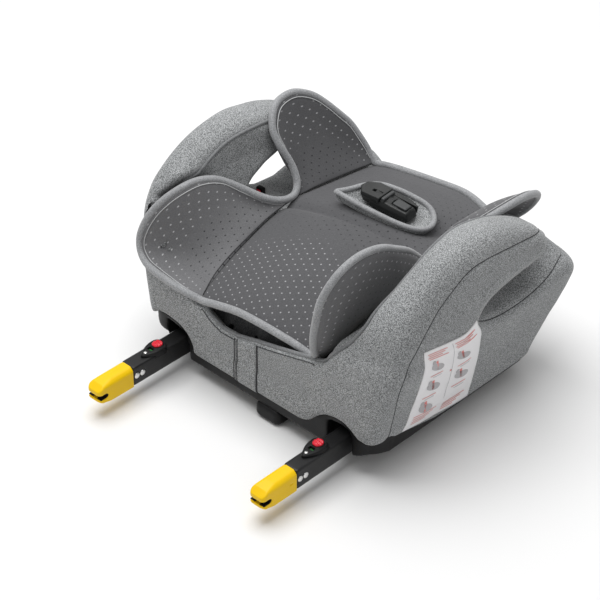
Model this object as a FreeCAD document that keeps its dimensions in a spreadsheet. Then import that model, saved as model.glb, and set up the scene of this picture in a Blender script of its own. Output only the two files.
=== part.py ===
import FreeCAD, Part
import os
import re

import Sketcher

# Belt-positioning booster seat with two sliding anchor latches at the rear.
# Millimetres. +X is the child's left, -Y the front, +Z up. The origin is on the floor, under the
# centre of the seat with its latches drawn out.

SIZES = {
    # plastic base
    "floor_z": 22, "wall": 4, "deck_low": 62, "deck_high": 66,
    "base_half_low": 180, "base_half_high": 184,
    "base_front_low": -204, "base_front_high": -214, "base_rear_low": 108, "base_rear_high": 106,
    "corner_round": 28, "keel_width": 70, "keel_front": -150, "keel_rear": 88, "keel_round": 12,
    "cover_half": 112, "cover_front": -190, "cover_rear": 90, "cover_low": 18, "cover_round": 12,
    "foot_rad": 13, "foot_side": 95, "foot_back": -172, "screw_rad": 4, "screw_head": 1.5,
    "screw_side": 98, "screw_one": -130, "screw_two": -20, "screw_three": 76,
    # arches over the latch arms
    "arch_side": 145, "arch_rad": 40, "arch_mid": 46, "arch_low": 42, "arch_front": 86.5,
    # latch arms
    "arm_side": 140, "arm_half": 11, "arm_low": 22, "arm_high": 50, "arm_front": -70, "arm_rear": 194,
    "tube_wall": 2, "slot_half": 13, "slot_front": -184,
    "rail_half": 14, "rail_inner": 11.5, "rail_front": -180, "rail_rear": 10, "rail_top": 50.6,
    "bar_rear": -52, "bar_low": 28, "bar_high": 44,
    "rack_half": 8, "rack_rear": 64, "rack_low": 30, "rack_high": 38, "rack_pitch": 10, "rack_teeth": 10,
    "cap_half": 12, "jaw_seat": 236, "jaw_mid": 33.4, "jaw_rad": 3.2,
    "hook_half": 2.5, "hook_room": 3.1, "pin_y": 231, "pin_z": 41, "pin_rad": 2.5, "pin_gap": 0.05,
    "hook_open": 40, "rivet_rad": 3.3, "rivet_head": 1.2, "rivet_z": 35.4, "rivet_one": 181, "rivet_two": 190,
    # release button housings
    "boss_side": 138, "boss_half": 12, "boss_front": 132, "boss_rear": 178, "boss_high": 57, "boss_round": 11.5,
    "well_half": 8.5, "well_front": 134.5, "well_rear": 163, "well_low": 52,
    "button_half": 8, "button_front": 135, "button_rear": 153, "button_low": 52.4, "button_high": 59,
    "window_half": 6, "window_front": 154, "window_rear": 162,
    # front adjuster
    "rod_half": 12, "rod_front": -218, "rod_rear": -30, "rod_low": 50, "rod_high": 56,
    "fork_half": 7, "fork_front": -58, "grip_half": 34, "grip_front": -232, "grip_low": 40, "grip_high": 58,
    "pawl_half": 6, "pawl_front": -46, "pawl_rear": -38, "pawl_low": 38.8, "pawl_high": 58.5,
    "cheek_in": 13, "cheek_out": 16, "cheek_front": -54, "cheek_rear": -30, "cheek_low": 46,
    # soft parts
    "seat_half": 150, "panel_half": 99, "arm_pad_far": 230, "core_in": 175, "core_out": 185,
    "rear_in": 96, "rear_out": 108, "tab_low_x": 6, "tab_high_x": 43, "tab_thick": 1.2, "tab_high": 101,
    "wing_side": 104, "wing_lean": 30, "wing_thick": 8, "rear_wing_z": 165, "front_wing_z": 182,
    "label_front": -58, "label_rear": 38,
    # backrest socket
    "socket_half": 88, "socket_front": 80.5, "socket_rear": 94, "socket_foot": 74, "rib_high": 98,
    "rib_half": 2, "rib_pitch": 40, "rib_count": 4,
    # belt guides
    "guide_in": 154, "guide_out": 176, "guide_front": -73, "guide_rear": -59, "guide_low": 166,
    "guide_high": 187, "insert_margin": 3, "insert_thick": 4,
    # crotch pad and belt clip, in the pad's own frame with X along the pad from its fold
    "fold_x": -52, "fold_y": -156, "fold_z": 180.5, "pad_yaw": 26.6, "pad_lift": 7, "pad_thick": 14,
    "web_half": 1.5, "web_front": -175, "web_rear": -137, "web_high": 179.4,
    "clip_near": 36, "clip_mid": 86, "clip_front": -12, "clip_rear": 14, "clip_low": 14.3, "clip_high": 27,
    "head_high": 30, "hook_plate": 6, "hook_plate_high": 24,
    "key_near": 50, "key_far": 70, "key_front": -7, "key_rear": 9, "key_gap": 0.4, "key_pocket": 20,
    "key_low": 23.5, "key_high": 29,
    "clip_along": 61, "clip_across": 6, "clip_turn": -20, "clip_middle": 75,
}

# Outlines, as (across, up) pairs on the plane each one is drawn on.
ARM_SIDE = [(108, 66), (108, 150), (92, 211), (60, 245), (10, 273), (-40, 284), (-106, 280), (-150, 268),
            (-172, 248), (-178, 226), (-170, 206), (-112, 196), (-76, 187), (-58, 177), (-60, 166),
            (-91, 156), (-127, 152), (-156, 156), (-190, 164), (-222, 168), (-245, 158), (-251, 140),
            (-249, 118), (-226, 66)]
ARM_FRONT = [(150, 66), (150, 160), (170, 264), (176, 279), (190, 284), (207, 281), (219, 266),
             (222, 240), (221, 190), (217, 160), (205, 122), (188, 66)]
ARM_PLAN = [(150, 108), (172, 106), (190, 94), (206, 72), (217, 40), (222, 0), (222, -170),
            (216, -205), (200, -234), (176, -249), (150, -251)]
CORE_SIDE = [(84, 66), (84, 148), (72, 196), (46, 228), (4, 256), (-40, 266), (-104, 262), (-138, 252),
             (-154, 236), (-150, 222), (-110, 213), (-66, 203), (-42, 184), (-42, 160), (-60, 146),
             (-100, 138), (-150, 138), (-216, 140), (-228, 118), (-210, 66)]
FOAM_SIDE = [(80, 66), (80, 132.2), (-55, 168), (-207, 163), (-222, 158), (-236, 136), (-236, 118), (-214, 66)]
PANEL_SIDE = [(95.5, 142.2), (-55, 182), (-207, 177), (-214, 171), (-207, 163), (-55, 168), (95.5, 128.2)]
FRONT_SIDE = [(-214, 66), (-236, 118), (-236, 136), (-222, 158), (-207, 163), (-214, 171), (-224, 172),
              (-242, 162), (-251, 142), (-251, 118), (-226, 66)]
REAR_WALL = [(-150, 66), (150, 66), (150, 134), (97, 130), (60, 104), (-60, 104), (-97, 130), (-150, 134)]
REAR_WING = [(98, -14), (108, 10), (112, 50), (104, 80), (80, 98), (45, 100), (10, 88), (-30, 62),
             (-54, 40), (-50, 22)]
FRONT_WING = [(-62, 4), (-62, 30), (-64, 76), (-76, 108), (-100, 122), (-130, 119), (-164, 98),
              (-194, 64), (-208, 25), (-205, 2)]
LABEL_SIDE = [(189.8, 70), (205.4, 122), (216.4, 156), (217.4, 155.4), (206.6, 121.4), (191, 69.4)]
CONNECTOR = [(194, 21), (194, 51.5), (234, 51.5), (245, 49.5), (251, 44), (251, 26.5), (232, 22)]
HOOK = [(224, 37), (225, 45), (238, 44.5), (243, 40.5), (246, 36), (246, 31.2), (242, 30.9),
        (241.5, 36.8), (236, 37.3), (228, 36.5)]
PAD = [(0, -14), (10, -25), (40, -30), (88, -25), (120, -13), (132, 0), (120, 13), (88, 25), (40, 30),
       (10, 25), (0, 14)]
HEAD = [(86, -13), (94, -17), (108, -13), (114, 0), (108, 15), (94, 19), (86, 15)]

doc = FreeCAD.newDocument("booster_seat")
sheet = doc.addObject("Spreadsheet::Sheet", "Params")
rows_used = 0
parts = []


def store(alias, value):
    """Puts one driving number in the sheet."""
    global rows_used
    rows_used += 1
    sheet.set("A%d" % rows_used, alias)
    sheet.set("B%d" % rows_used, "%g" % value)
    sheet.setAlias("B%d" % rows_used, alias)


for size_name, size_value in SIZES.items():
    store(size_name, size_value)
doc.recompute()


def bind(piece, prop, formula):
    """Binds a property to a formula written with the sheet's aliases."""
    text = re.sub(r"[A-Za-z_][A-Za-z_0-9]*", lambda word: "Params." + word.group(0), str(formula))
    piece.setExpression(prop, text)


def keep(piece, label):
    """Makes a finished object one of the sub-parts that are written out."""
    piece.Label = label
    parts.append(piece)
    return piece


def box(name, across, along, up):
    """A block between pairs of formulas along X, Y and Z."""
    piece = doc.addObject("Part::Box", name)
    for prop, axis, (low, high) in (("Length", "x", across), ("Width", "y", along), ("Height", "z", up)):
        bind(piece, prop, "(%s) - (%s)" % (high, low))
        bind(piece, "Placement.Base." + axis, low)
    return piece


def rod(name, axis, radius, centre, low, high):
    """A round bar along X, Y or Z, between two formulas on that axis."""
    piece = doc.addObject("Part::Cylinder", name)
    bind(piece, "Radius", radius)
    bind(piece, "Height", "(%s) - (%s)" % (high, low))
    turns = {"x": FreeCAD.Rotation(FreeCAD.Vector(0, 1, 0), 90),
             "y": FreeCAD.Rotation(FreeCAD.Vector(1, 0, 0), -90),
             "z": FreeCAD.Rotation()}
    piece.Placement = FreeCAD.Placement(FreeCAD.Vector(), turns[axis])
    for other, formula in zip([letter for letter in "xyz" if letter != axis], centre):
        bind(piece, "Placement.Base." + other, formula)
    bind(piece, "Placement.Base." + axis, low)
    return piece


def taper(name, low, high, inset):
    """The base's tapered block from one height to another, moved in by an inset all round."""
    piece = doc.addObject("Part::Wedge", name)
    piece.Placement = FreeCAD.Placement(FreeCAD.Vector(), FreeCAD.Rotation(FreeCAD.Vector(1, 0, 0), 90))
    bind(piece, "Ymin", low)
    bind(piece, "Ymax", high)
    for prop, half, front, rear in (("", "base_half_low", "base_front_low", "base_rear_low"),
                                    ("2", "base_half_high", "base_front_high", "base_rear_high")):
        bind(piece, "X%smax" % prop, "%s - %s" % (half, inset))
        bind(piece, "X%smin" % prop, "%s - %s" % (inset, half))
        bind(piece, "Z%smin" % prop, "%s - %s" % (inset, rear))
        bind(piece, "Z%smax" % prop, "0 - %s - %s" % (front, inset))
    return piece


def outline(name, plane, points, low, high):
    """A body padded from an outline on one of its own planes, between two offsets."""
    body = doc.addObject("PartDesign::Body", name)
    sketch = body.newObject("Sketcher::SketchObject", name + "_sketch")
    role = plane + "_Plane"
    sketch.AttachmentSupport = [(next(f for f in body.Origin.OriginFeatures if f.Role == role), "")]
    sketch.MapMode = "FlatFace"
    count = len(points)
    for here, there in zip(points, points[1:] + points[:1]):
        ends = [FreeCAD.Vector(across, up, 0) for across, up in (here, there)]
        sketch.addGeometry(Part.LineSegment(*ends), False)
    for index in range(count):
        sketch.addConstraint(Sketcher.Constraint("Coincident", index, 2, (index + 1) % count, 1))
    for index, point in enumerate(points):
        for kind, letter, value in zip(("DistanceX", "DistanceY"), "uv", point):
            alias = "%s_%s%d" % (name, letter, index)
            store(alias, value)
            number = sketch.addConstraint(Sketcher.Constraint(kind, -1, 1, index, 1, value))
            sketch.renameConstraint(number, alias)
            sketch.setExpression("Constraints." + alias, "Params." + alias)
    pad = body.newObject("PartDesign::Pad", name + "_pad")
    pad.Profile = sketch
    bind(pad, "Length", "(%s) - (%s)" % (high, low))
    offset = low if plane != "XZ" else "0 - (%s)" % high
    bind(sketch, "AttachmentOffset.Base.z", offset)
    return body


def cut(name, base, *tools):
    """What is left of the base after every tool is taken from it."""
    piece = doc.addObject("Part::Cut", name)
    piece.Base = base
    piece.Tool = tools[0] if len(tools) == 1 else join(name + "_tools", *tools)
    return piece


def join(name, *pieces):
    """Several overlapping or touching shapes made one solid."""
    piece = doc.addObject("Part::MultiFuse", name)
    piece.Shapes = list(pieces)
    return piece


def common(name, *pieces):
    """The space that all the shapes share."""
    piece = doc.addObject("Part::MultiCommon", name)
    piece.Shapes = list(pieces)
    return piece


def group(name, *pieces):
    """Separate solids kept side by side in one object."""
    piece = doc.addObject("Part::Compound", name)
    piece.Links = list(pieces)
    return piece


def mirror(name, source):
    """The same piece on the child's right."""
    piece = doc.addObject("Part::Mirroring", name)
    piece.Source = source
    piece.Normal = FreeCAD.Vector(1, 0, 0)
    return piece


def rounded(name, base, alias, wanted):
    """Rounds the edges of the base for which wanted(edge) is true."""
    doc.recompute()
    radius = float(sheet.get(alias))
    picked = [number for number, edge in enumerate(base.Shape.Edges, 1) if wanted(edge)]
    piece = doc.addObject("Part::Fillet", name)
    piece.Base = base
    piece.Edges = [(number, radius, radius) for number in picked]
    return piece


def upright(edge):
    """True for an edge that climbs."""
    return edge.BoundBox.ZLength > 2 * max(edge.BoundBox.XLength, edge.BoundBox.YLength)


def pair(name, make):
    """Makes a left piece with make(name) and mirrors it for the right."""
    left = keep(make(name), name + "_left")
    return left, keep(mirror(name + "_mirrored", left), name + "_right")


def both_sides(name, tool):
    """A cutting tool together with its mirror image."""
    return join(name, tool, mirror(name + "_far", tool))


def span(side, half):
    """The pair of formulas for a width centred on a side distance."""
    return ("%s - (%s)" % (side, half), "%s + %s" % (side, half))


def base_parts():
    """Tray, bottom cover, keel, feet, screws and deck, with the arches and arm slots cut in them."""
    arch_round = rod("arch_round", "y", "arch_rad", ("arch_side", "arch_mid"), "arch_front", "base_rear_low + 20")
    arch_block = box("arch_block", ("arch_side - 60", "arch_side + 60"), ("arch_front", "base_rear_low + 20"),
                     ("arch_low", "arch_mid + 60"))
    arches = both_sides("arches", common("arch_tool", arch_round, arch_block))
    outer = rounded("tray_outer", taper("tray_block", "floor_z", "deck_low", "0"), "corner_round", upright)
    inner = taper("tray_inner", "floor_z + wall", "deck_low + 1", "wall")
    slots = both_sides("slots", box("slot", span("arm_side", "slot_half"), ("slot_front", "base_rear_low + 20"),
                                    ("floor_z - 5", "deck_low + 1")))
    rod_hole = box("rod_hole", ("0 - rod_half - 1", "rod_half + 1"), ("base_front_high - 10", "base_front_low + 10"),
                   ("rod_low - 1", "rod_high + 1"))
    keep(cut("tray", outer, inner, slots, arches, rod_hole), "base_shell")
    deck_block = box("deck_block", ("0 - base_half_high", "base_half_high"), ("base_front_high", "base_rear_high"),
                     ("deck_low", "deck_high"))
    keep(cut("deck", rounded("deck_round", deck_block, "corner_round", upright), arches), "seat_deck")
    cover_block = box("cover_block", ("0 - cover_half", "cover_half"), ("cover_front", "cover_rear"),
                      ("cover_low", "floor_z"))
    keep(rounded("cover_plate", cover_block, "cover_round", upright), "bottom_cover")
    keel_block = box("keel_block", ("0 - keel_width", "0"), ("keel_front", "keel_rear"), ("0", "cover_low"))
    keep(rounded("keel_round_block", keel_block, "keel_round",
                 lambda edge: edge.BoundBox.ZMax < sheet.get("cover_low") - 1 or upright(edge)), "keel")
    feet = [rod("foot_%s" % word, "z", "foot_rad", ("%s foot_side" % sign, "foot_back"), "0", "cover_low")
            for word, sign in (("near", "0 -"), ("far", ""))]
    keep(group("feet", *feet), "front_feet")
    screws = []
    for row in ("screw_one", "screw_two", "screw_three"):
        screws.append(rod(row + "_head", "z", "screw_rad", ("screw_side", row), "cover_low - screw_head", "cover_low"))
    screws += [mirror(screw.Name + "_far", screw) for screw in screws]
    keep(group("screws", *screws), "bottom_screws")
    return arches


def latch_arms():
    """Rails in the base and the sliding frame: tubes, bar, rack, connectors, hooks and buttons."""
    arm = span("arm_side", "arm_half")

    def rail(name):
        block = box(name + "_block", span("arm_side", "rail_half"), ("rail_front", "rail_rear"),
                    ("floor_z + wall", "deck_low"))
        channel = box(name + "_channel", span("arm_side", "rail_inner"), ("rail_front - 5", "rail_rear + 5"),
                      ("floor_z", "rail_top"))
        window = box(name + "_window", ("arm_side - rail_half - 5", "arm_side - arm_half"),
                     ("rail_front - 5", "bar_rear + 3"), ("bar_low - 3", "bar_high + 1.5"))
        return cut(name, block, channel, window)

    def tube(name):
        block = box(name + "_block", arm, ("arm_front", "arm_rear"), ("arm_low", "arm_high"))
        hollow = box(name + "_hollow", span("arm_side", "arm_half - tube_wall"),
                     ("arm_front - 5", "arm_rear + 5"), ("arm_low + tube_wall", "arm_high - tube_wall"))
        return cut(name, block, hollow)

    def connector(name):
        block = outline(name + "_block", "YZ", CONNECTOR, "arm_side - cap_half", "arm_side + cap_half")
        jaw = box(name + "_jaw", span("arm_side", "cap_half + 2"), ("jaw_seat", "jaw_seat + 30"),
                  ("jaw_mid - jaw_rad", "jaw_mid + jaw_rad"))
        seat = rod(name + "_seat", "x", "jaw_rad", ("jaw_seat", "jaw_mid"), "arm_side - cap_half - 2",
                   "arm_side + cap_half + 2")
        room = box(name + "_room", span("arm_side", "hook_room"), ("pin_y - 15", "pin_y + 30"),
                   ("jaw_mid - jaw_rad", "arm_high - 0.5"))
        hole = rod(name + "_hole", "x", "pin_rad", ("pin_y", "pin_z"), "arm_side - cap_half - 2",
                   "arm_side + cap_half + 2")
        return cut(name, block, jaw, seat, room, hole)

    def pin(name):
        return rod(name, "x", "pin_rad", ("pin_y", "pin_z"), "arm_side - cap_half", "arm_side + cap_half")

    def hook(name):
        plate = outline(name + "_plate", "YZ", HOOK, "arm_side - hook_half", "arm_side + hook_half")
        hole = rod(name + "_hole", "x", "pin_rad + pin_gap", ("pin_y", "pin_z"), "arm_side - 10", "arm_side + 10")
        piece = cut(name, plate, hole)
        pivot = FreeCAD.Vector(0, sheet.get("pin_y"), sheet.get("pin_z"))
        turn = FreeCAD.Rotation(FreeCAD.Vector(1, 0, 0), sheet.get("hook_open"))
        piece.Placement = FreeCAD.Placement(FreeCAD.Vector(), turn, pivot)
        return piece

    def housing(name):
        block = box(name + "_block", span("boss_side", "boss_half"), ("boss_front", "boss_rear"),
                    ("arm_high", "boss_high"))
        well = box(name + "_well", span("boss_side", "well_half"), ("well_front", "well_rear"),
                   ("well_low", "boss_high + 5"))
        window = box(name + "_window", span("boss_side", "window_half"), ("window_front", "window_rear"),
                     ("arm_high - 1", "boss_high + 5"))
        return cut(name, rounded(name + "_round", block, "boss_round", upright), well, window)

    def indicator(name):
        return box(name, span("boss_side", "window_half"), ("window_front", "window_rear"),
                   ("arm_high", "well_low"))

    def button(name):
        return box(name, span("boss_side", "button_half"), ("button_front", "button_rear"),
                   ("button_low", "button_high"))

    for name, make in (("guide_rail", rail), ("latch_tube", tube), ("connector", connector), ("hook_pin", pin),
                       ("latch_hook", hook), ("button_housing", housing), ("indicator", indicator),
                       ("release_button", button)):
        pair(name, make)
    bar_block = box("bar_block", ("arm_half - arm_side", "arm_side - arm_half"), ("arm_front", "bar_rear"),
                    ("bar_low", "bar_high"))
    bar_hollow = box("bar_hollow", ("0 - arm_side", "arm_side"), ("arm_front + tube_wall", "bar_rear - tube_wall"),
                     ("bar_low + tube_wall", "bar_high - tube_wall"))
    keep(cut("bar", bar_block, bar_hollow), "cross_bar")
    rack_block = box("rack_block", ("0 - rack_half", "rack_half"), ("bar_rear", "rack_rear"),
                     ("rack_low", "rack_high"))
    notches = []
    for number in range(int(sheet.get("rack_teeth"))):
        start = "bar_rear + 8 + %d*rack_pitch" % number
        notches.append(box("notch_%d" % number, ("0 - rack_half - 1", "rack_half + 1"),
                           (start, start + " + rack_pitch/2"), ("rack_high - 3", "rack_high + 1")))
    keep(cut("rack", rack_block, *notches), "lock_rack")
    rivets = []
    for row in ("rivet_one", "rivet_two"):
        rivets.append(rod(row + "_head", "x", "rivet_rad", (row, "rivet_z"), "arm_side + arm_half",
                          "arm_side + arm_half + rivet_head"))
    rivets += [mirror(rivet.Name + "_far", rivet) for rivet in rivets]
    keep(group("rivets", *rivets), "latch_rivets")


def adjuster():
    """The pull grip under the front edge, its rod, the pawl over the rack and the pawl's cheeks."""
    keep(box("grip", ("0 - grip_half", "grip_half"), ("grip_front", "rod_front"), ("grip_low", "grip_high")),
         "adjuster_grip")
    rod_block = box("rod_block", ("0 - rod_half", "rod_half"), ("rod_front", "rod_rear"), ("rod_low", "rod_high"))
    fork = box("fork", ("0 - fork_half", "fork_half"), ("fork_front", "rod_rear + 5"),
               ("rod_low - 1", "rod_high + 1"))
    keep(cut("rod_fork", rod_block, fork), "adjuster_rod")
    keep(box("pawl", ("0 - pawl_half", "pawl_half"), ("pawl_front", "pawl_rear"), ("pawl_low", "pawl_high")),
         "lock_pawl")
    cheek = box("cheek", ("cheek_in", "cheek_out"), ("cheek_front", "cheek_rear"), ("cheek_low", "deck_low"))
    keep(group("cheeks", cheek, mirror("cheek_far", cheek)), "lock_bracket")


def soft_parts(arches):
    """Foam, armrests, covers, seat insert with four wings, belt guides and label."""
    seat = ("0 - seat_half", "seat_half")
    web = box("web", ("fold_x - web_half", "fold_x + web_half"), ("web_front", "web_rear"),
              ("deck_high", "web_high"))
    keep(web, "strap_webbing")
    keep(cut("foam", outline("foam_block", "YZ", FOAM_SIDE, *seat), web), "seat_foam")
    keep(cut("panel", outline("panel_block", "YZ", PANEL_SIDE, "0 - panel_half", "panel_half"), web), "seat_panel")
    keep(outline("front_skin", "YZ", FRONT_SIDE, *seat), "front_cover")
    keep(cut("rear_skin", outline("rear_block", "XZ", REAR_WALL, "rear_in", "rear_out"), arches), "rear_cover")
    keep(box("tab", ("tab_low_x", "tab_high_x"), ("rear_out", "rear_out + tab_thick"), ("deck_high", "tab_high")),
         "cover_tab")

    def core(name):
        return cut(name, outline(name + "_plate", "YZ", CORE_SIDE, "core_in", "core_out"), arches)

    def guide(name):
        return box(name, ("guide_in", "guide_out"), ("guide_front", "guide_rear"), ("guide_low", "guide_high"))

    def insert(name):
        return box(name, ("guide_in + insert_margin", "guide_out - insert_margin"),
                   ("guide_front - insert_thick", "guide_front"),
                   ("guide_low + insert_margin", "guide_high - insert_margin"))

    core_left = pair("armrest_core", core)[0]
    guide_left = pair("belt_guide", guide)[0]
    pair("belt_insert", insert)

    def armrest(name):
        shape = common(name + "_shape", outline(name + "_side", "YZ", ARM_SIDE, "seat_half", "arm_pad_far"),
                       outline(name + "_front", "XZ", ARM_FRONT, "0 - 260", "120"),
                       outline(name + "_plan", "XY", ARM_PLAN, "deck_high", "300"))
        return cut(name, shape, core_left, guide_left, arches)

    pair("armrest_cover", armrest)

    def wing(name, points, height):
        plate = outline(name, "YZ", points, "0", "wing_thick")
        plate.Placement = FreeCAD.Placement(
            FreeCAD.Vector(sheet.get("wing_side"), 0, sheet.get(height)),
            FreeCAD.Rotation(FreeCAD.Vector(0, 1, 0), sheet.get("wing_lean")))
        return plate

    pair("wing_rear", lambda name: wing(name, REAR_WING, "rear_wing_z"))
    pair("wing_front", lambda name: wing(name, FRONT_WING, "front_wing_z"))
    label = outline("label_left", "XZ", LABEL_SIDE, "label_front", "label_rear")
    keep(mirror("label_near", label), "care_label")


def backrest_socket():
    """The ribbed plastic trough that the removable backrest hooks into."""
    pieces = [box("socket_foot", ("0 - socket_half", "socket_half"), ("socket_front", "socket_rear"),
                  ("deck_high", "socket_foot"))]
    count = int(sheet.get("rib_count"))
    for number in range(count):
        middle = "rib_pitch*%g" % (number - (count - 1) / 2)
        pieces.append(box("socket_rib_%d" % number, span(middle, "rib_half"), ("socket_front", "socket_rear"),
                          ("deck_high", "rib_high")))
    keep(join("socket", *pieces), "backrest_socket")


def crotch_clip():
    """The padded crotch strap and the lap-belt clip that lies on it, raised a little at its tip."""
    fold = FreeCAD.Vector(sheet.get("fold_x"), sheet.get("fold_y"), sheet.get("fold_z"))
    seat_frame = FreeCAD.Placement(fold, FreeCAD.Rotation(sheet.get("pad_yaw"), -sheet.get("pad_lift"), 0))
    key = box("key", ("key_near + key_gap", "key_far - key_gap"), ("key_front + key_gap", "key_rear - key_gap"),
              ("key_low", "key_high"))
    housing_block = box("clip_block", ("clip_near", "clip_mid"), ("clip_front", "clip_rear"),
                        ("clip_low", "clip_high"))
    pocket = box("clip_pocket", ("key_near", "key_far"), ("key_front", "key_rear"), ("key_pocket", "clip_high + 5"))
    head = outline("clip_head_block", "XY", HEAD, "clip_low", "head_high")
    groove = box("clip_groove", ("clip_mid + 6", "clip_mid + 20"), ("0", "3"), ("head_high - 5", "head_high + 5"))
    catch = box("catch", ("clip_near + 4", "clip_mid"), ("clip_rear", "clip_rear + hook_plate"),
                ("clip_low", "hook_plate_high"))
    pieces = (("strap_pad", outline("pad_block", "XY", PAD, "0", "pad_thick")),
              ("clip_housing", cut("clip_body", housing_block, pocket)),
              ("clip_head", cut("clip_head_cut", head, groove)),
              ("clip_catch", group("catch_group", catch)),
              ("clip_button", group("key_group", key)))
    turn = FreeCAD.Placement(FreeCAD.Vector(sheet.get("clip_along"), sheet.get("clip_across"), 0),
                             FreeCAD.Rotation(sheet.get("clip_turn"), 0, 0))
    clip_frame = seat_frame * turn * FreeCAD.Placement(FreeCAD.Vector(-sheet.get("clip_middle"), 0, 0),
                                                       FreeCAD.Rotation())
    for label, piece in pieces:
        piece.Placement = seat_frame if label == "strap_pad" else clip_frame
        keep(piece, label)


arch_tools = base_parts()
latch_arms()
adjuster()
soft_parts(arch_tools)
backrest_socket()
crotch_clip()
doc.recompute()

for item in doc.Objects:
    if "Invalid" in item.State or "Error" in item.State:
        raise RuntimeError("%s did not build: %s" % (item.Label, item.State))
os.makedirs("parts", exist_ok=True)
for sub_part in parts:
    if sub_part.Shape.isNull() or not sub_part.Shape.isValid() or not sub_part.Shape.Solids:
        raise RuntimeError("%s has no valid solid" % sub_part.Label)
for sub_part in parts:
    sub_part.Shape.exportStep("parts/%s.step" % sub_part.Label)
    print("%-22s %2d solids %10.0f mm3" % (sub_part.Label, len(sub_part.Shape.Solids), sub_part.Shape.Volume))
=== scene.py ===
import bpy
import numpy as np
from math import cos, pi, radians, sin
from mathutils import Matrix, Vector


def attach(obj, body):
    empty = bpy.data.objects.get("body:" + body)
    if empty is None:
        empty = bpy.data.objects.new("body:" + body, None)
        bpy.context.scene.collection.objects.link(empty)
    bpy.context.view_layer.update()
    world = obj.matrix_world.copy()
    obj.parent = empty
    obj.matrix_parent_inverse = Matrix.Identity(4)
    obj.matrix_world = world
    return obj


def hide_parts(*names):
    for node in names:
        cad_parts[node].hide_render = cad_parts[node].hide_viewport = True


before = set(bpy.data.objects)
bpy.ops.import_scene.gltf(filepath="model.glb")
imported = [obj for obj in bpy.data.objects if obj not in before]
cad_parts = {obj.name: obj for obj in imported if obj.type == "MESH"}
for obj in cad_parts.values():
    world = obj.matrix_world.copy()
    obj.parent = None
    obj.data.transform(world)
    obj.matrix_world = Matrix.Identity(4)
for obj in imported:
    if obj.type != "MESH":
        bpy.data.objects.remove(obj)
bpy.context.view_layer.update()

MM = 0.001

# ---- camera


def make_camera(azimuth, elevation, lens, place):
    """A camera at a place, turned by azimuth and elevation in degrees."""
    a, e = radians(azimuth), radians(elevation)
    back = Vector((sin(a) * cos(e), -cos(a) * cos(e), sin(e)))
    right = Vector((cos(a), sin(a), 0))
    up = back.cross(right)
    data = bpy.data.cameras.new("camera")
    data.lens = lens
    data.sensor_width = 36
    data.clip_end = 20
    camera = bpy.data.objects.new("camera", data)
    turn = Matrix((right, up, back)).transposed()
    camera.matrix_world = Matrix.Translation(place) @ turn.to_4x4()
    bpy.context.scene.collection.objects.link(camera)
    bpy.context.scene.camera = camera


make_camera(223.97, 35.9, 126, Vector((-1.436, 1.521, 1.632)))

# ---- curves


def spline(points, closed=False, each=8):
    """Points on a smooth curve that passes through every given point."""
    given = np.array(points, float)
    count = len(given)
    spans = count if closed else count - 1
    found = []
    for i in range(spans):
        if closed:
            p0, p1, p2, p3 = (given[(i + shift) % count] for shift in (-1, 0, 1, 2))
        else:
            p1, p2 = given[i], given[i + 1]
            p0 = given[i - 1] if i else 2 * p1 - p2
            p3 = given[i + 2] if i + 2 < count else 2 * p2 - p1
        for step in range(each):
            s = step / each
            found.append(0.5 * (2 * p1 + (p2 - p0) * s + (2 * p0 - 5 * p1 + 4 * p2 - p3) * s * s
                                + (3 * p1 - p0 - 3 * p2 + p3) * s ** 3))
    if not closed:
        found.append(given[-1])
    return np.array(found)


def resample(line, count, closed=False):
    """The same line as evenly spaced points."""
    line = np.asarray(line, float)
    if closed:
        line = np.vstack([line, line[:1]])
    gone = np.concatenate([[0], np.cumsum(np.linalg.norm(np.diff(line, axis=0), axis=1))])
    wanted = np.linspace(0, gone[-1], count + 1 if closed else count)
    found = np.stack([np.interp(wanted, gone, line[:, k]) for k in range(line.shape[1])], axis=1)
    return found[:-1] if closed else found


def line_length(line):
    """How long a line of points is."""
    return float(np.linalg.norm(np.diff(np.asarray(line), axis=0), axis=1).sum())


# ---- distance fields


def outline_distance(loop, across, up):
    """Signed distance from a closed outline, negative inside."""
    loop = np.asarray(loop, float)
    best = np.full(across.shape, 1e9)
    inside = np.zeros(across.shape, bool)
    for (ax, ay), (bx, by) in zip(loop, np.roll(loop, -1, axis=0)):
        dx, dy = bx - ax, by - ay
        share = np.clip(((across - ax) * dx + (up - ay) * dy) / (dx * dx + dy * dy + 1e-12), 0, 1)
        best = np.minimum(best, np.hypot(across - ax - share * dx, up - ay - share * dy))
        crosses = (ay > up) != (by > up)
        with np.errstate(divide="ignore", invalid="ignore"):
            where = ax + (up - ay) * dx / (dy if dy else 1e-12)
        inside ^= crosses & (across < where)
    return np.where(inside, -best, best)


def smooth_most(a, b, soft):
    """The larger of two fields, rounded where they meet."""
    blend = np.clip(0.5 + 0.5 * (a - b) / soft, 0, 1)
    return b * (1 - blend) + a * blend + soft * blend * (1 - blend)


def smooth_least(a, b, soft):
    """The smaller of two fields, rounded where they meet."""
    return -smooth_most(-a, -b, soft)


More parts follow.
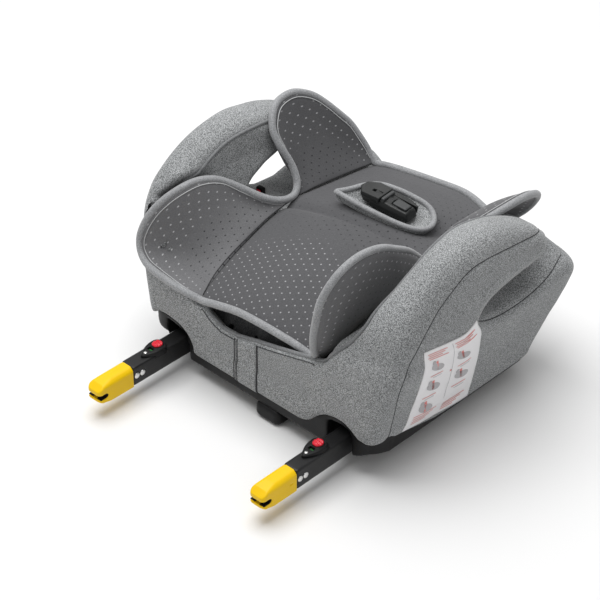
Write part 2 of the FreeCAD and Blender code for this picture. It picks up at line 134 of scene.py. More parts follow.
class Field:
    """A distance field in millimetres on a regular grid."""

    def __init__(self, low, high, step):
        self.low = np.array(low, float)
        self.step = step
        counts = [int(np.ceil((h - l) / step)) + 1 for l, h in zip(low, high)]
        self.axes = [self.low[k] + step * np.arange(counts[k]) for k in range(3)]
        self.grid = np.meshgrid(*self.axes, indexing="ij")
        self.value = None

    def at(self, places):
        """The field's value at places, between its grid points."""
        spot = (np.asarray(places, float) - self.low) / self.step
        top = np.array(self.value.shape) - 2
        base = np.clip(np.floor(spot).astype(int), 0, top)
        f = np.clip(spot - base, 0, 1)
        total = 0
        for i in (0, 1):
            for j in (0, 1):
                for k in (0, 1):
                    weight = ((f[:, 0] if i else 1 - f[:, 0]) * (f[:, 1] if j else 1 - f[:, 1])
                              * (f[:, 2] if k else 1 - f[:, 2]))
                    total = total + weight * self.value[base[:, 0] + i, base[:, 1] + j, base[:, 2] + k]
        return total

    def slope(self, places):
        """The direction in which the field grows, at places."""
        found = []
        for k in range(3):
            shift = np.zeros(3)
            shift[k] = self.step
            found.append(self.at(places + shift) - self.at(places - shift))
        found = np.stack(found, axis=1) / (2 * self.step)
        return found / np.maximum(np.linalg.norm(found, axis=1, keepdims=True), 1e-6)

    def onto(self, places, lift=0.0, rounds=6):
        """The places moved to the surface, or to a height above it."""
        places = np.array(places, float)
        for _ in range(rounds):
            places = places - self.slope(places) * (self.at(places) - lift)[:, None]
        return places

    def groove(self, line, depth, width):
        """Presses a soft channel into the surface along a line."""
        near = np.abs(self.value) < 3 * width
        spots = np.stack([axis[near] for axis in self.grid], axis=1)
        best = np.full(len(spots), 1e9)
        low, high = line.min(0) - 3 * width, line.max(0) + 3 * width
        inside = np.all((spots > low) & (spots < high), axis=1)
        chosen = spots[inside]
        closest = np.full(len(chosen), 1e9)
        for point in line:
            closest = np.minimum(closest, ((chosen - point) ** 2).sum(1))
        best[inside] = closest
        self.value[near] += depth * np.exp(-best / width ** 2)

    def surface(self, smooth_rounds=2):
        """Corners and quads round the field's zero level (surface nets)."""
        value = self.value
        shape = np.array(value.shape)
        cells = tuple(shape - 1)
        total = np.zeros(cells + (3,))
        hits = np.zeros(cells)
        crossings = []
        for axis in range(3):
            low = [slice(None)] * 3
            high = [slice(None)] * 3
            low[axis], high[axis] = slice(0, -1), slice(1, None)
            first, second = value[tuple(low)], value[tuple(high)]
            crossed = (first < 0) != (second < 0)
            share = np.where(crossed, first / np.where(crossed, first - second, 1), 0)
            crossings.append((crossed, first < 0))
            others = [k for k in range(3) if k != axis]
            for i in (0, 1):
                for j in (0, 1):
                    part = [slice(None)] * 3
                    part[others[0]] = slice(i, i + cells[others[0]])
                    part[others[1]] = slice(j, j + cells[others[1]])
                    mask = crossed[tuple(part)]
                    hits += mask
                    total[..., axis] += share[tuple(part)] * mask
                    total[..., others[0]] += i * mask
                    total[..., others[1]] += j * mask
        used = hits > 0
        number = np.full(cells, -1)
        number[used] = np.arange(used.sum())
        index = np.argwhere(used)
        corners = self.low + self.step * (index + total[used] / hits[used][:, None])
        quads = []
        for axis in range(3):
            crossed, starts_inside = crossings[axis]
            a, b = [(1, 2), (2, 0), (0, 1)][axis]
            spots = np.argwhere(crossed)
            pair = spots[:, [a, b]]
            spots = spots[np.all(pair > 0, axis=1) & np.all(pair < shape[[a, b]] - 1, axis=1)]
            ring = []
            for i, j in ((0, 0), (1, 0), (1, 1), (0, 1)):
                moved = spots.copy()
                moved[:, a] -= i
                moved[:, b] -= j
                ring.append(number[tuple(moved.T)])
            ring = np.stack(ring, axis=1)
            flip = ~starts_inside[tuple(spots.T)]
            ring[flip] = ring[flip][:, ::-1]
            quads.append(ring)
        quads = np.vstack(quads)
        for _ in range(smooth_rounds):
            sums = np.zeros_like(corners)
            counts = np.zeros(len(corners))
            for k in range(4):
                np.add.at(sums, quads[:, k], corners[quads[:, (k + 1) % 4]] + corners[quads[:, k - 1]])
                np.add.at(counts, quads[:, k], 2)
            corners = 0.5 * corners + 0.5 * sums / counts[:, None]
            corners = self.onto(corners, rounds=2)
        return corners, quads


# ---- meshes


def mesh_object(name, corners, faces):
    """A mesh object from corners in millimetres."""
    data = bpy.data.meshes.new(name)
    data.from_pydata((np.asarray(corners) * MM).tolist(), [],
                     faces.tolist() if isinstance(faces, np.ndarray) else faces)
    data.update()
    data.shade_smooth()
    piece = bpy.data.objects.new(name, data)
    bpy.context.scene.collection.objects.link(piece)
    return piece


def finish_piece(piece, body, material, replaced=()):
    """Gives a piece its material, its body and the CAD nodes it stands for."""
    piece.data.materials.clear()
    piece.data.materials.append(material)
    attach(piece, body)
    if replaced:
        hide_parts(*replaced)


def tube(line, radius, sides=10, closed=False):
    """Corners and faces of a round tube along a line."""
    line = np.asarray(line, float)
    count = len(line)
    ahead = np.roll(line, -1, axis=0) - np.roll(line, 1, axis=0) if closed else np.gradient(line, axis=0)
    ahead /= np.linalg.norm(ahead, axis=1, keepdims=True)
    side = np.array([0.0, 0.0, 1.0]) if abs(ahead[0][2]) < 0.9 else np.array([1.0, 0.0, 0.0])
    normals = []
    for direction in ahead:
        side = side - direction * side.dot(direction)
        side = side / np.linalg.norm(side)
        normals.append(side)
    normals = np.array(normals)
    across = np.cross(ahead, normals)
    angles = np.arange(sides) * 2 * pi / sides
    corners = (line[:, None, :] + radius * (
        np.cos(angles)[None, :, None] * across[:, None, :]
        + np.sin(angles)[None, :, None] * normals[:, None, :])).reshape(-1, 3)
    faces = ring_faces(count, sides, closed)
    if not closed:
        faces.append(list(range(sides))[::-1])
        faces.append([(count - 1) * sides + k for k in range(sides)])
    return corners, faces


def ring_faces(count, sides, closed=False):
    """Quads between rings of corners that follow each other."""
    return [[i * sides + k, i * sides + (k + 1) % sides, (i + 1) % count * sides + (k + 1) % sides,
             (i + 1) % count * sides + k]
            for i in range(count if closed else count - 1) for k in range(sides)]


def closed_patch(name, top, low, flip=False):
    """A closed mesh from a sheet's two grids."""
    rows, columns = top.shape[:2]
    number = np.arange(rows * columns).reshape(rows, columns)
    quads = np.stack([number[:-1, :-1], number[1:, :-1], number[1:, 1:], number[:-1, 1:]], axis=-1)
    quads = quads.reshape(-1, 4)
    rim = np.concatenate([number[0, :-1], number[:-1, -1], number[-1, :0:-1], number[:0:-1, 0]])
    under = rows * columns
    band = np.stack([rim, np.roll(rim, -1), np.roll(rim, -1) + under, rim + under], axis=-1)
    faces = np.concatenate([quads, quads[:, ::-1] + under, band])
    if flip:
        faces = faces[:, ::-1]
    return mesh_object(name, np.concatenate([top.reshape(-1, 3), low.reshape(-1, 3)]), faces)


def joined(parts):
    """Several (corners, faces) pairs as one."""
    corners, faces, used = [], [], 0
    for some_corners, some_faces in parts:
        corners.append(np.asarray(some_corners))
        faces += [[used + k for k in face] for face in some_faces]
        used += len(some_corners)
    return np.vstack(corners), faces


# ---- materials


def new_material(name):
    """A material, its node tree and its main shader."""
    material = bpy.data.materials.new(name)
    material.use_nodes = True
    tree = material.node_tree
    return material, tree, tree.nodes["Principled BSDF"]


def node(tree, kind, **values):
    """A shader node with some of its inputs or properties set."""
    made = tree.nodes.new(kind)
    for key, value in values.items():
        if key in made.inputs:
            made.inputs[key].default_value = value
        else:
            setattr(made, key, value)
    return made


def set_inputs(shader, **values):
    """Sets a shader's plain inputs; an underscore stands for a space in an input's name."""
    for name, value in values.items():
        shader.inputs[name.replace("_", " ")].default_value = value


def ramp(tree, source, *stops):
    """A grey ramp over a value, from two stops of place and grey."""
    made = tree.nodes.new("ShaderNodeValToRGB")
    for element, (place, grey) in zip(made.color_ramp.elements, stops):
        element.position = place
        element.color = (grey, grey, grey, 1)
    tree.links.new(source, made.inputs["Fac"])
    return made.outputs["Color"]


def mixed(tree, share, first, second):
    """Two colours mixed; each is a socket or a colour, and the share a socket or a number."""
    made = tree.nodes.new("ShaderNodeMix")
    made.data_type = "RGBA"
    for place, value in (("Factor", share), (6, first), (7, second)):
        socket = made.inputs[place]
        if isinstance(value, bpy.types.NodeSocket):
            tree.links.new(value, socket)
        elif isinstance(value, (int, float)):
            socket.default_value = value
        else:
            socket.default_value = (*value, 1)
    return made.outputs[2]


def maths(tree, operation, *values):
    """A math node over sockets and numbers."""
    made = tree.nodes.new("ShaderNodeMath")
    made.operation = operation
    for socket, value in zip(made.inputs, values):
        if isinstance(value, bpy.types.NodeSocket):
            tree.links.new(value, socket)
        else:
            socket.default_value = value
    return made.outputs[0]


def bumped(tree, shader, height, distance, strength=1.0):
    """Feeds a height into the shader's normal."""
    made = node(tree, "ShaderNodeBump", Distance=distance, Strength=strength)
    tree.links.new(height, made.inputs["Height"])
    tree.links.new(made.outputs["Normal"], shader.inputs["Normal"])


def noise(tree, place, scale, detail=2.0, rough=0.5, stretch=None):
    """Noise over object places, stretched along an axis if asked."""
    if stretch:
        mapping = node(tree, "ShaderNodeMapping")
        mapping.inputs["Scale"].default_value = stretch
        tree.links.new(place, mapping.inputs["Vector"])
        place = mapping.outputs["Vector"]
    made = node(tree, "ShaderNodeTexNoise", Scale=scale, Detail=detail, Roughness=rough)
    tree.links.new(place, made.inputs["Vector"])
    return made.outputs["Fac"]


def object_place(tree):
    """The object's own coordinates."""
    return tree.nodes.new("ShaderNodeTexCoord").outputs["Object"]


def melange(name, light, dark, mid):
    """Heathered knit: fine light and dark fibres over a mid grey."""
    material, tree, shader = new_material(name)
    place = object_place(tree)
    fibres = noise(tree, place, 900, 1.6, 0.7)
    streaks = noise(tree, place, 520, 2.0, 0.6, stretch=(0.5, 1.0, 1.6))
    clouds = noise(tree, place, 14, 2.0, 0.5)
    base = mixed(tree, ramp(tree, fibres, (0.40, 0.0), (0.60, 1.0)), dark, light)
    base = mixed(tree, ramp(tree, streaks, (0.42, 0.0), (0.66, 0.4)), base, mid)
    base = mixed(tree, ramp(tree, clouds, (0.3, 0.0), (0.7, 0.16)), base, dark)
    tree.links.new(base, shader.inputs["Base Color"])
    set_inputs(shader, Roughness=0.92, Sheen_Weight=0.25, Sheen_Roughness=0.45, Specular_IOR_Level=0.18)
    weave = noise(tree, place, 900, 1.0, 0.5)
    bumped(tree, shader, weave, 0.0006, 0.55)
    return material


def satin(name, light, dark):
    """Grey binding tape with a soft sheen and a fine rib across it."""
    material, tree, shader = new_material(name)
    place = object_place(tree)
    fibres = noise(tree, place, 700, 2.0, 0.6)
    folds = noise(tree, place, 60, 2.0, 0.5)
    base = mixed(tree, ramp(tree, fibres, (0.35, 0.0), (0.65, 1.0)), dark, light)
    base = mixed(tree, ramp(tree, folds, (0.35, 0.0), (0.7, 0.35)), base, dark)
    tree.links.new(base, shader.inputs["Base Color"])
    set_inputs(shader, Roughness=0.62, Sheen_Weight=0.3, Specular_IOR_Level=0.3)
    height = mixed(tree, 0.5, fibres, folds)
    bumped(tree, shader, height, 0.0008, 0.5)
    return material


DOT_COLUMN, DOT_ROW = 0.00815, 0.0107  # gaps between dots in metres


def perforated(name, colour, deep, bright):
    """Smooth knit with staggered rows of small dots, dark or bright by the piece's own attribute."""
    material, tree, shader = new_material(name)
    place = object_place(tree)
    uv = node(tree, "ShaderNodeUVMap", uv_map="cloth")
    split = tree.nodes.new("ShaderNodeSeparateXYZ")
    tree.links.new(uv.outputs["UV"], split.inputs["Vector"])
    column = maths(tree, "DIVIDE", split.outputs["X"], DOT_COLUMN)
    number = maths(tree, "ROUND", column)
    odd = maths(tree, "ABSOLUTE", maths(tree, "MODULO", number, 2.0))
    row = maths(tree, "ADD", maths(tree, "DIVIDE", split.outputs["Y"], DOT_ROW),
                maths(tree, "MULTIPLY", odd, 0.5))
    cell_x = maths(tree, "MULTIPLY", maths(tree, "SUBTRACT", column, number), DOT_COLUMN)
    cell_y = maths(tree, "MULTIPLY", maths(tree, "SUBTRACT", row, maths(tree, "ROUND", row)), DOT_ROW)
    gone = maths(tree, "SQRT", maths(tree, "ADD", maths(tree, "MULTIPLY", cell_x, cell_x),
                                     maths(tree, "MULTIPLY", cell_y, cell_y)))
    dot = ramp(tree, maths(tree, "MULTIPLY", gone, 400.0), (0.24, 1.0), (0.48, 0.0))
    glow = node(tree, "ShaderNodeAttribute", attribute_name="dot_light")
    show = node(tree, "ShaderNodeAttribute", attribute_name="dot_show")
    fibres = noise(tree, place, 800, 2.0, 0.6)
    clouds = noise(tree, place, 12, 2.0, 0.5)
    base = mixed(tree, ramp(tree, fibres, (0.35, 0.0), (0.65, 1.0)), tuple(c * 0.86 for c in colour),
                 tuple(c * 1.14 for c in colour))
    base = mixed(tree, ramp(tree, clouds, (0.35, 0.0), (0.7, 0.2)), base, tuple(c * 0.8 for c in colour))
    dots = mixed(tree, glow.outputs["Fac"], deep, bright)
    base = mixed(tree, maths(tree, "MULTIPLY", dot, show.outputs["Fac"]), base, dots)
    tree.links.new(base, shader.inputs["Base Color"])
    set_inputs(shader, Roughness=0.82, Sheen_Weight=0.3, Sheen_Roughness=0.4, Specular_IOR_Level=0.22)
    height = maths(tree, "SUBTRACT", maths(tree, "MULTIPLY", fibres, 0.3),
                   maths(tree, "MULTIPLY", dot, 0.6))
    bumped(tree, shader, height, 0.0005, 0.6)
    return material


def plastic(name, colour, rough, grain=900, depth=0.00012, coat=0.0, wear=0.25, gloss=0.3):
    """Moulded plastic with a fine grain, a little uneven in tone and gloss."""
    material, tree, shader = new_material(name)
    place = object_place(tree)
    fine = noise(tree, place, grain, 2.0, 0.6)
    broad = noise(tree, place, 35, 3.0, 0.55)
    base = mixed(tree, ramp(tree, broad, (0.3, 0.0), (0.75, wear)), colour,
                 tuple(min(1.0, c * 1.5 + 0.003) for c in colour))
    tree.links.new(base, shader.inputs["Base Color"])
    tree.links.new(ramp(tree, broad, (0.3, max(0.05, rough - 0.06)), (0.7, min(1.0, rough + 0.08))),
                   shader.inputs["Roughness"])
    set_inputs(shader, Specular_IOR_Level=gloss, Coat_Weight=coat, Coat_Roughness=0.15)
    bumped(tree, shader, fine, depth, 0.6)
    return material


def metal(name, colour, rough):
    """Bright metal with fine scratches."""
    material, tree, shader = new_material(name)
    place = object_place(tree)
    scratches = noise(tree, place, 400, 3.0, 0.7, stretch=(1, 6, 1))
    set_inputs(shader, Metallic=1.0)
    tree.links.new(mixed(tree, ramp(tree, scratches, (0.3, 0.0), (0.7, 0.3)), colour,
                         tuple(c * 0.7 for c in colour)), shader.inputs["Base Color"])
    tree.links.new(ramp(tree, scratches, (0.3, rough), (0.7, rough + 0.15)), shader.inputs["Roughness"])
    bumped(tree, shader, scratches, 0.00005, 0.4)
    return material


COVER = melange("cover_melange", (0.45, 0.46, 0.465), (0.07, 0.074, 0.076), (0.23, 0.236, 0.238))
LINING = melange("lining_melange", (0.12, 0.122, 0.125), (0.035, 0.036, 0.038), (0.07, 0.072, 0.073))
BINDING = satin("binding_satin", (0.34, 0.345, 0.355), (0.18, 0.184, 0.19))
PIPING = satin("piping_satin", (0.20, 0.205, 0.21), (0.10, 0.103, 0.107))
INSERT = perforated("insert_knit", (0.083, 0.083, 0.087), (0.02, 0.02, 0.022), (0.34, 0.34, 0.35))
# lighter copy of the insert knit, used only on the two rear wings: painted light that brightens wings
# standing in shade
INSERT_REAR_LIT = perforated("insert_wing_knit", (0.145, 0.145, 0.15), (0.035, 0.035, 0.037),
                         (0.46, 0.46, 0.47))
THREAD = plastic("thread_dark", (0.03, 0.03, 0.032), 0.8)
THREAD_LIGHT = plastic("thread_grey", (0.40, 0.405, 0.41), 0.8)
BLACK = plastic("black_plastic", (0.006, 0.006, 0.0065), 0.45, gloss=0.2)
ARM_BLACK = plastic("arm_plastic", (0.010, 0.010, 0.0105), 0.4, grain=1400)
YELLOW = plastic("connector_plastic", (0.78, 0.49, 0.0), 0.42, wear=0.12, gloss=0.25)
RED = plastic("release_plastic", (0.62, 0.012, 0.03), 0.3, coat=0.3, wear=0.15)
GREEN = plastic("indicator_plastic", (0.02, 0.12, 0.03), 0.3, coat=0.4)
CLIP = plastic("clip_plastic", (0.011, 0.012, 0.012), 0.4)
CLIP_LIGHT = plastic("clip_grey", (0.04, 0.042, 0.043), 0.45)
RUBBER = plastic("foot_rubber", (0.015, 0.015, 0.015), 0.85)
STEEL = metal("bright_steel", (0.75, 0.75, 0.74), 0.22)
DARK_STEEL = metal("painted_steel", (0.05, 0.05, 0.052), 0.4)

# ---- fabric cover of the seat

REAR_EDGE = [(-87, 90, 119), (-76, 92, 123), (-55, 95, 129), (-28, 99, 134), (0, 103, 138),
             (35, 105, 138), (70, 106, 131), (88, 106, 126), (100, 105, 122)]
FRONT_EDGE = [(-102, -211, 176), (-88, -222, 174), (-65, -235, 172), (-24, -246, 171),
              (23, -240, 171), (72, -229, 172), (92, -220, 174), (102, -211, 176)]
FOLD_A = [(100, 105, 122), (103, 80, 136), (105, 40, 156), (107, -10, 174), (108, -56, 184),
          (109, -72, 186)]
FOLD_B = [(109, -72, 186), (108, -100, 184), (106, -150, 180), (104, -190, 177), (102, -211, 176)]
FOLD_D = [(-across, along, up) for across, along, up in FOLD_B]
FOLD_C = [(-87, 90, 119), (-92, 70, 134), (-98, 35, 156), (-104, -12, 175), (-108, -56, 184),
          (-109, -72, 186)]
WING_A = [(100, 105, 123), (118, 113, 130), (142, 116, 134), (168, 116, 137), (188, 114, 141),
          (202, 109, 150), (206, 106, 164), (203, 104, 178), (198, 101, 192), (189, 95, 210),
          (178, 81, 227), (168, 60, 238), (162, 42, 240), (156, 24, 236), (149, 9, 228),
          (134, -10, 214), (119, -26, 202), (111, -44, 193), (108, -60, 190), (109, -72, 190)]
WING_B = [(109, -72, 190), (115, -82, 200), (127, -84, 221), (140, -77, 245), (152, -76, 264),
          (161, -85, 279), (167, -98, 288), (169, -117, 291), (167, -134, 289), (161, -156, 278),
          (152, -171, 264), (142, -185, 247), (133, -198, 230), (123, -205, 212), (114, -210, 196),
          (107, -211, 184), (102, -211, 176)]
WING_C = [(-87, 90, 119), (-93, 105, 145), (-100, 114, 172), (-109, 119, 206), (-115, 118, 234),
          (-121, 108, 257), (-125, 91, 272), (-126, 67, 277), (-125, 42, 273), (-123, 22, 265),
          (-121, 4, 254), (-115, -29, 232), (-110, -50, 213), (-108, -62, 201), (-109, -72, 194)]
WING_D = [(-109, -72, 194), (-114, -82, 200), (-126, -92, 212), (-141, -100, 231),
          (-155, -112, 248), (-166, -130, 260), (-172, -152, 266), (-173, -174, 266),
          (-171, -194, 260), (-166, -208, 250), (-158, -216, 236), (-147, -221, 220),
          (-135, -222, 205), (-121, -219, 191), (-110, -215, 181), (-102, -211, 176)]


def sheet_normals(base):
    """Unit normals of a grid of points."""
    across = np.gradient(base, axis=1)
    along = np.gradient(base, axis=0)
    found = np.cross(along, across)
    return found / np.maximum(np.linalg.norm(found, axis=2, keepdims=True), 1e-9)


# armrest seen from the side: along, up
ARM_PROFILE = [(109, 60), (109, 150), (96, 208), (67, 247), (18, 276), (-38, 287), (-76, 282),
               (-104, 275), (-135, 262), (-160, 245), (-175, 227), (-171, 210), (-150, 201),
               (-112, 195), (-78, 187), (-60, 177), (-52, 162), (-52, 120), (-52, 60)]
# how far the outer wall, the armrest's inner wall and the front reach at each height
OUTER_Z = [22, 44, 81, 122, 160, 190, 240, 300]
OUTER_X = [184, 187, 194, 205, 216, 221, 222.5, 222.5]
INNER_Z = [60, 160, 211, 239, 263, 284]
INNER_X = [112, 131, 158, 166, 168, 168]
FRONT_Z = [22, 34, 66, 95, 122, 140, 157, 170]
FRONT_Y = [206, 208, 225, 240, 249, 251, 249, 244]
SHELL_REAR = 109
OPENING_HALF = 96
# crest of the rear wall under the insert
EDGE_X = [-180, -130, -97, -63, -29, 1.5, 36, 62, 82, 97.6, 130, 180]
EDGE_Z = [170, 146, 134.6, 125.3, 116.6, 109.5, 100, 99.3, 108.5, 123.5, 140, 170]
# height of the body along the seat: under the insert and beside it
SADDLE_Y = [-251, -240, -207, -55, 100, 110]
SADDLE_Z = [150, 154, 161, 166, 126, 122]
LOBE_Y = [-251, -240, -222, -190, -156, -127, -91, -58, 108]
LOBE_Z = [150, 163, 168, 165, 156, 152, 156, 168, 168]
# room under the armrest's front end, and the armrest's end seen from above
MOUTH = [(-62, 177), (-80, 186), (-112, 194), (-150, 200), (-172, 208), (-190, 216), (-262, 222),
         (-262, 150), (-150, 150), (-91, 150), (-60, 158), (-56, 168)]
ARM_TIP = [(80, 150), (260, 150), (240, -138), (228, -160), (212, -176), (192, -184), (172, -180),
           (152, -160), (136, -130), (80, -60)]
# arches over the latch arms, in the rear wall
ARCH_LEFT = [(110, 0), (111, 38), (115, 53), (122, 63), (133, 70), (146, 73), (160, 74), (172, 72),
             (180, 66), (187, 58), (196, 53), (230, 50), (230, 0)]
ARCH_RIGHT = [(72, 0), (74, 30), (90, 42), (98, 50), (106, 58), (118, 66), (132, 70), (146, 70),
              (157, 65), (166, 58), (178, 53), (230, 50), (230, 0)]


def between(value, low, high):
    """Distance field of a slab."""
    return np.maximum(low - value, value - high)


def arch_field(x, z):
    """Distance from the arches over the latch arms; the left one sits a little further out."""
    below = -20
    found = []
    for outline in (ARCH_LEFT, ARCH_RIGHT):
        loop = spline(outline[:-2], each=3).tolist()
        loop += [(230, outline[-2][1]), (230, below), (outline[0][0], below)]
        found.append(outline_distance(loop, np.abs(x), z))
    return np.where(x > 0, found[0], found[1])


def cover_field():
    """The whole fabric cover below and beside the insert, as a distance field."""
    field = Field((-231, -263, 18), (231, 123, 296), 2.7)
    x, y, z = field.grid
    a = np.abs(x)
    outer = (a - np.interp(z, OUTER_Z, OUTER_X)) * 0.96
    corner = np.interp(z, [22, 80, 150, 220], [15, 20, 36, 44])
    shell = smooth_most(outer, y - SHELL_REAR + 0.02 * np.maximum(z - 110, 0), corner)
    front = (-y - np.interp(z, FRONT_Z, FRONT_Y)) * 0.9
    shell = smooth_most(shell, front, 28.0)

    saddle = np.interp(y, SADDLE_Y, SADDLE_Z)
    lobe = np.interp(y, LOBE_Y, LOBE_Z)
    rise = np.interp(a, [160, 215, 231], [1, 0, -0.4]) * np.interp(y, [-150, -100], [15, 5])
    blend = np.clip((a - 100) / 28, 0, 1)
    blend = blend * blend * (3 - 2 * blend)
    top = saddle * (1 - blend) + (lobe + rise) * blend
    lower = smooth_most(shell, (z - top) * 0.93, 22.0)
    rear_room = np.interp(x, EDGE_X, EDGE_Z)
    pocket = smooth_most(74 - y, a - OPENING_HALF, 12.0)
    pocket = smooth_most(pocket, 64 - z, 6.0)
    lower = smooth_most(lower, -pocket, 5.0)

    flat_y, flat_z = np.meshgrid(field.axes[1], field.axes[2], indexing="ij")
    profile = outline_distance(resample(spline(ARM_PROFILE, closed=True, each=6), 150, closed=True),
                               flat_y, flat_z)[None]
    wider = 9 * np.clip((20 - y) / 90, 0, 1) * np.clip((z - 150) / 60, 0, 1)
    inner = np.interp(z, INNER_Z, INNER_X) - wider - a
    dent = (np.clip((y - 15) / 45, 0, 1) * np.clip((250 - z) / 30, 0, 1) * np.clip((z - 118) / 20, 0, 1)
            * (x > 0))
    inner = inner + 34 * dent
    fall = np.interp(y, [-170, -130, -76, 0, 45, 80, 109], [0.8, 1.1, 1.1, 1, 1, 0.35, 0.1])
    crown = (fall * np.interp(-inner, [-14, 0, 12, 26], [20, 12, 4, 0])
             + np.interp(a, [200, 208, 216, 224], [0, 2.5, 9, 20])
             * np.interp(y, [-150, -60, 60, 109], [0.5, 1, 1, 0.2]))
    arm = smooth_most(profile + crown * np.clip((z - 150) / 40, 0, 1), shell, 16.0)
    arm = smooth_most(arm, inner * 0.95, 9.0)
    mouth = outline_distance(MOUTH, flat_y, flat_z)[None]
    grown = 38 * np.clip((212 - a) / 60, 0, 1.0) * np.interp(y, [-170, -120], [0.35, 1])
    arm = smooth_most(arm, grown - mouth, 9.0)
    flat_a, flat_y = np.meshgrid(np.abs(field.axes[0]), field.axes[1], indexing="ij")
    arm = smooth_most(arm, outline_distance(ARM_TIP, flat_a, flat_y)[:, :, None], 10.0)

    wall = smooth_most(shell, 96 - y, 4.0)
    wall = smooth_most(wall, (z - rear_room) * 0.9, 5.0)
    wall = smooth_most(wall, a - 170, 4.0)

    body = smooth_least(lower, arm, 11.0)
    body = smooth_least(body, wall, 6.0)
    flat_x, flat_z = np.meshgrid(field.axes[0], field.axes[2], indexing="ij")
    arch = arch_field(flat_x, flat_z)[:, None, :]
    arch = smooth_most(arch, 72 - y, 4.0)
    body = smooth_most(body, -arch, 5.0)
    hem = (np.interp(y, [-260, -60, 60, 100], [26, 26, 33, 36])
           + np.interp(y, [-10, 70, 100], [0, 14, 15]) * np.clip((a - 155) / 20, 0, 1))
    body = smooth_most(body, (hem - z), 4.0)
    channel = np.maximum(between(a, 122.5, 156.0), np.maximum(z - 63, -190 - y))
    field.value = np.maximum(body, -channel)
    return field


cover = cover_field()


def side_line(points, side, lift=0.0, each=10):
    """A line over the cover on one side of it, pressed onto the surface."""
    line = spline(points, each=each)
    line = resample(line, max(12, int(line_length(line) / 4)))
    line = cover.onto(line * np.array([side, 1, 1]), lift)
    for _ in range(6):
        line[1:-1] = 0.5 * line[1:-1] + 0.25 * (line[2:] + line[:-2])
    return cover.onto(line, lift, 2)


MID_SEAM = [(184, 82, 40), (190, 81, 81), (205, 86, 126), (213, 86, 149), (218, 81, 170),
            (221, 72, 191), (222, 41, 229), (222, 30, 238), (222, 2, 254), (222, -21, 262),
            (222, -48, 262), (222, -76, 259), (220, -111, 254), (216, -137, 248), (208, -154, 240),
            (196, -170, 233)]
LOBE_SEAM = [(216, -51, 170), (217, -91, 155), (217, -127, 151), (216, -156, 155), (212, -178, 161),
             (196, -224, 168)]
INNER_PIPING = [(96, 104, 135), (130, 100, 158), (150, 97, 190), (160, 92, 211), (167, 66, 230),
                (168, 44, 243), (169, -1, 266), (167, -40, 272), (169, -76, 268), (170, -112, 260),
                (171, -142, 247), (178, -164, 232)]


def wing_base(fold, rim, sag, flip):
    """The middle surface of a wing between its fold and its rim."""
    rows, columns = ((72, 36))
    first = resample(spline(fold), rows)
    second = resample(spline(rim), rows)
    t = np.linspace(0, 1, columns)[None, :]
    base = first[:, None, :] * (1 - t[..., None]) + second[:, None, :] * t[..., None]
    normal = sheet_normals(base) * flip
    width = np.linalg.norm(second - first, axis=1)[:, None]
    cup = sag * np.sin(pi * t) * np.clip(width / 80, 0, 1) * (1.15 - 0.6 * t)
    return base - normal * cup[..., None], width, t


def carve_under(field, base, gap):
    """Presses the cover down below a sheet that lies over it."""
    count = 4
    fine = np.concatenate([base[:-1] * (1 - k / count) + base[1:] * k / count for k in range(count)])
    fine = np.concatenate([fine[:, :-1] * (1 - k / count) + fine[:, 1:] * k / count for k in range(count)],
                          axis=1)
    spots = fine.reshape(-1, 3)
    ix = np.round((spots[:, 0] - field.low[0]) / field.step).astype(int)
    iy = np.round((spots[:, 1] - field.low[1]) / field.step).astype(int)
    inside = (ix >= 0) & (iy >= 0) & (ix < field.value.shape[0]) & (iy < field.value.shape[1])
    heights = np.full(field.value.shape[:2], 1e3)
    np.minimum.at(heights, (ix[inside], iy[inside]), spots[inside, 2])
    covered = heights < 900
    for _ in range(2):
        near = np.full(heights.shape + (4,), 1e3)
        near[1:, :, 0], near[:-1, :, 1] = heights[:-1], heights[1:]
        near[:, 1:, 2], near[:, :-1, 3] = heights[:, :-1], heights[:, 1:]
        heights = np.where(covered, heights, near.min(axis=2))
        covered = heights < 900
    limit = field.grid[2] - (heights[:, :, None] - gap)
    field.value = np.where(covered[:, :, None], smooth_most(field.value, limit * 0.8, 5.0), field.value)


LEFT_SAG = 9
carve_under(cover, wing_base(FOLD_A, WING_A, LEFT_SAG, 1)[0], 5.2)
for side in (-1, 1):
    for points in (MID_SEAM, LOBE_SEAM, INNER_PIPING):
        cover.groove(side_line(points, side), 1.5, 4.0)

corners, quads = cover.surface(3)
cover_piece = mesh_object("seat_cover", corners, quads)
finish_piece(cover_piece, "seat_base", COVER,
             ("armrest_cover_left", "armrest_cover_right", "front_cover", "rear_cover", "seat_foam",
              "armrest_core_left", "armrest_core_right"))

seams = []
pipings = []
for side in (-1, 1):
    for points in (MID_SEAM, LOBE_SEAM):
        seams.append(tube(side_line(points, side, 0.1), 0.55, sides=6))
    pipings.append(tube(side_line(INNER_PIPING, side, 1.2), 2.1, sides=10))
seam_piece = mesh_object("cover_seams", *joined(seams))
finish_piece(seam_piece, "seat_base", THREAD)
piping_piece = mesh_object("cover_piping", *joined(pipings))
finish_piece(piping_piece, "seat_base", PIPING)

# ---- seat insert

WING_HALF, CENTRE_HALF = 5.2, 6.5  # half thicknesses
BINDING_RADIUS = 4.7


def soft_edge(gone, width):
    """How full a pad is at a distance from its edge, from a thin rim up to one."""
    s = np.clip(gone / width, 0, 1)
    return 0.25 + 0.75 * np.sqrt(1 - (1 - s) ** 2)


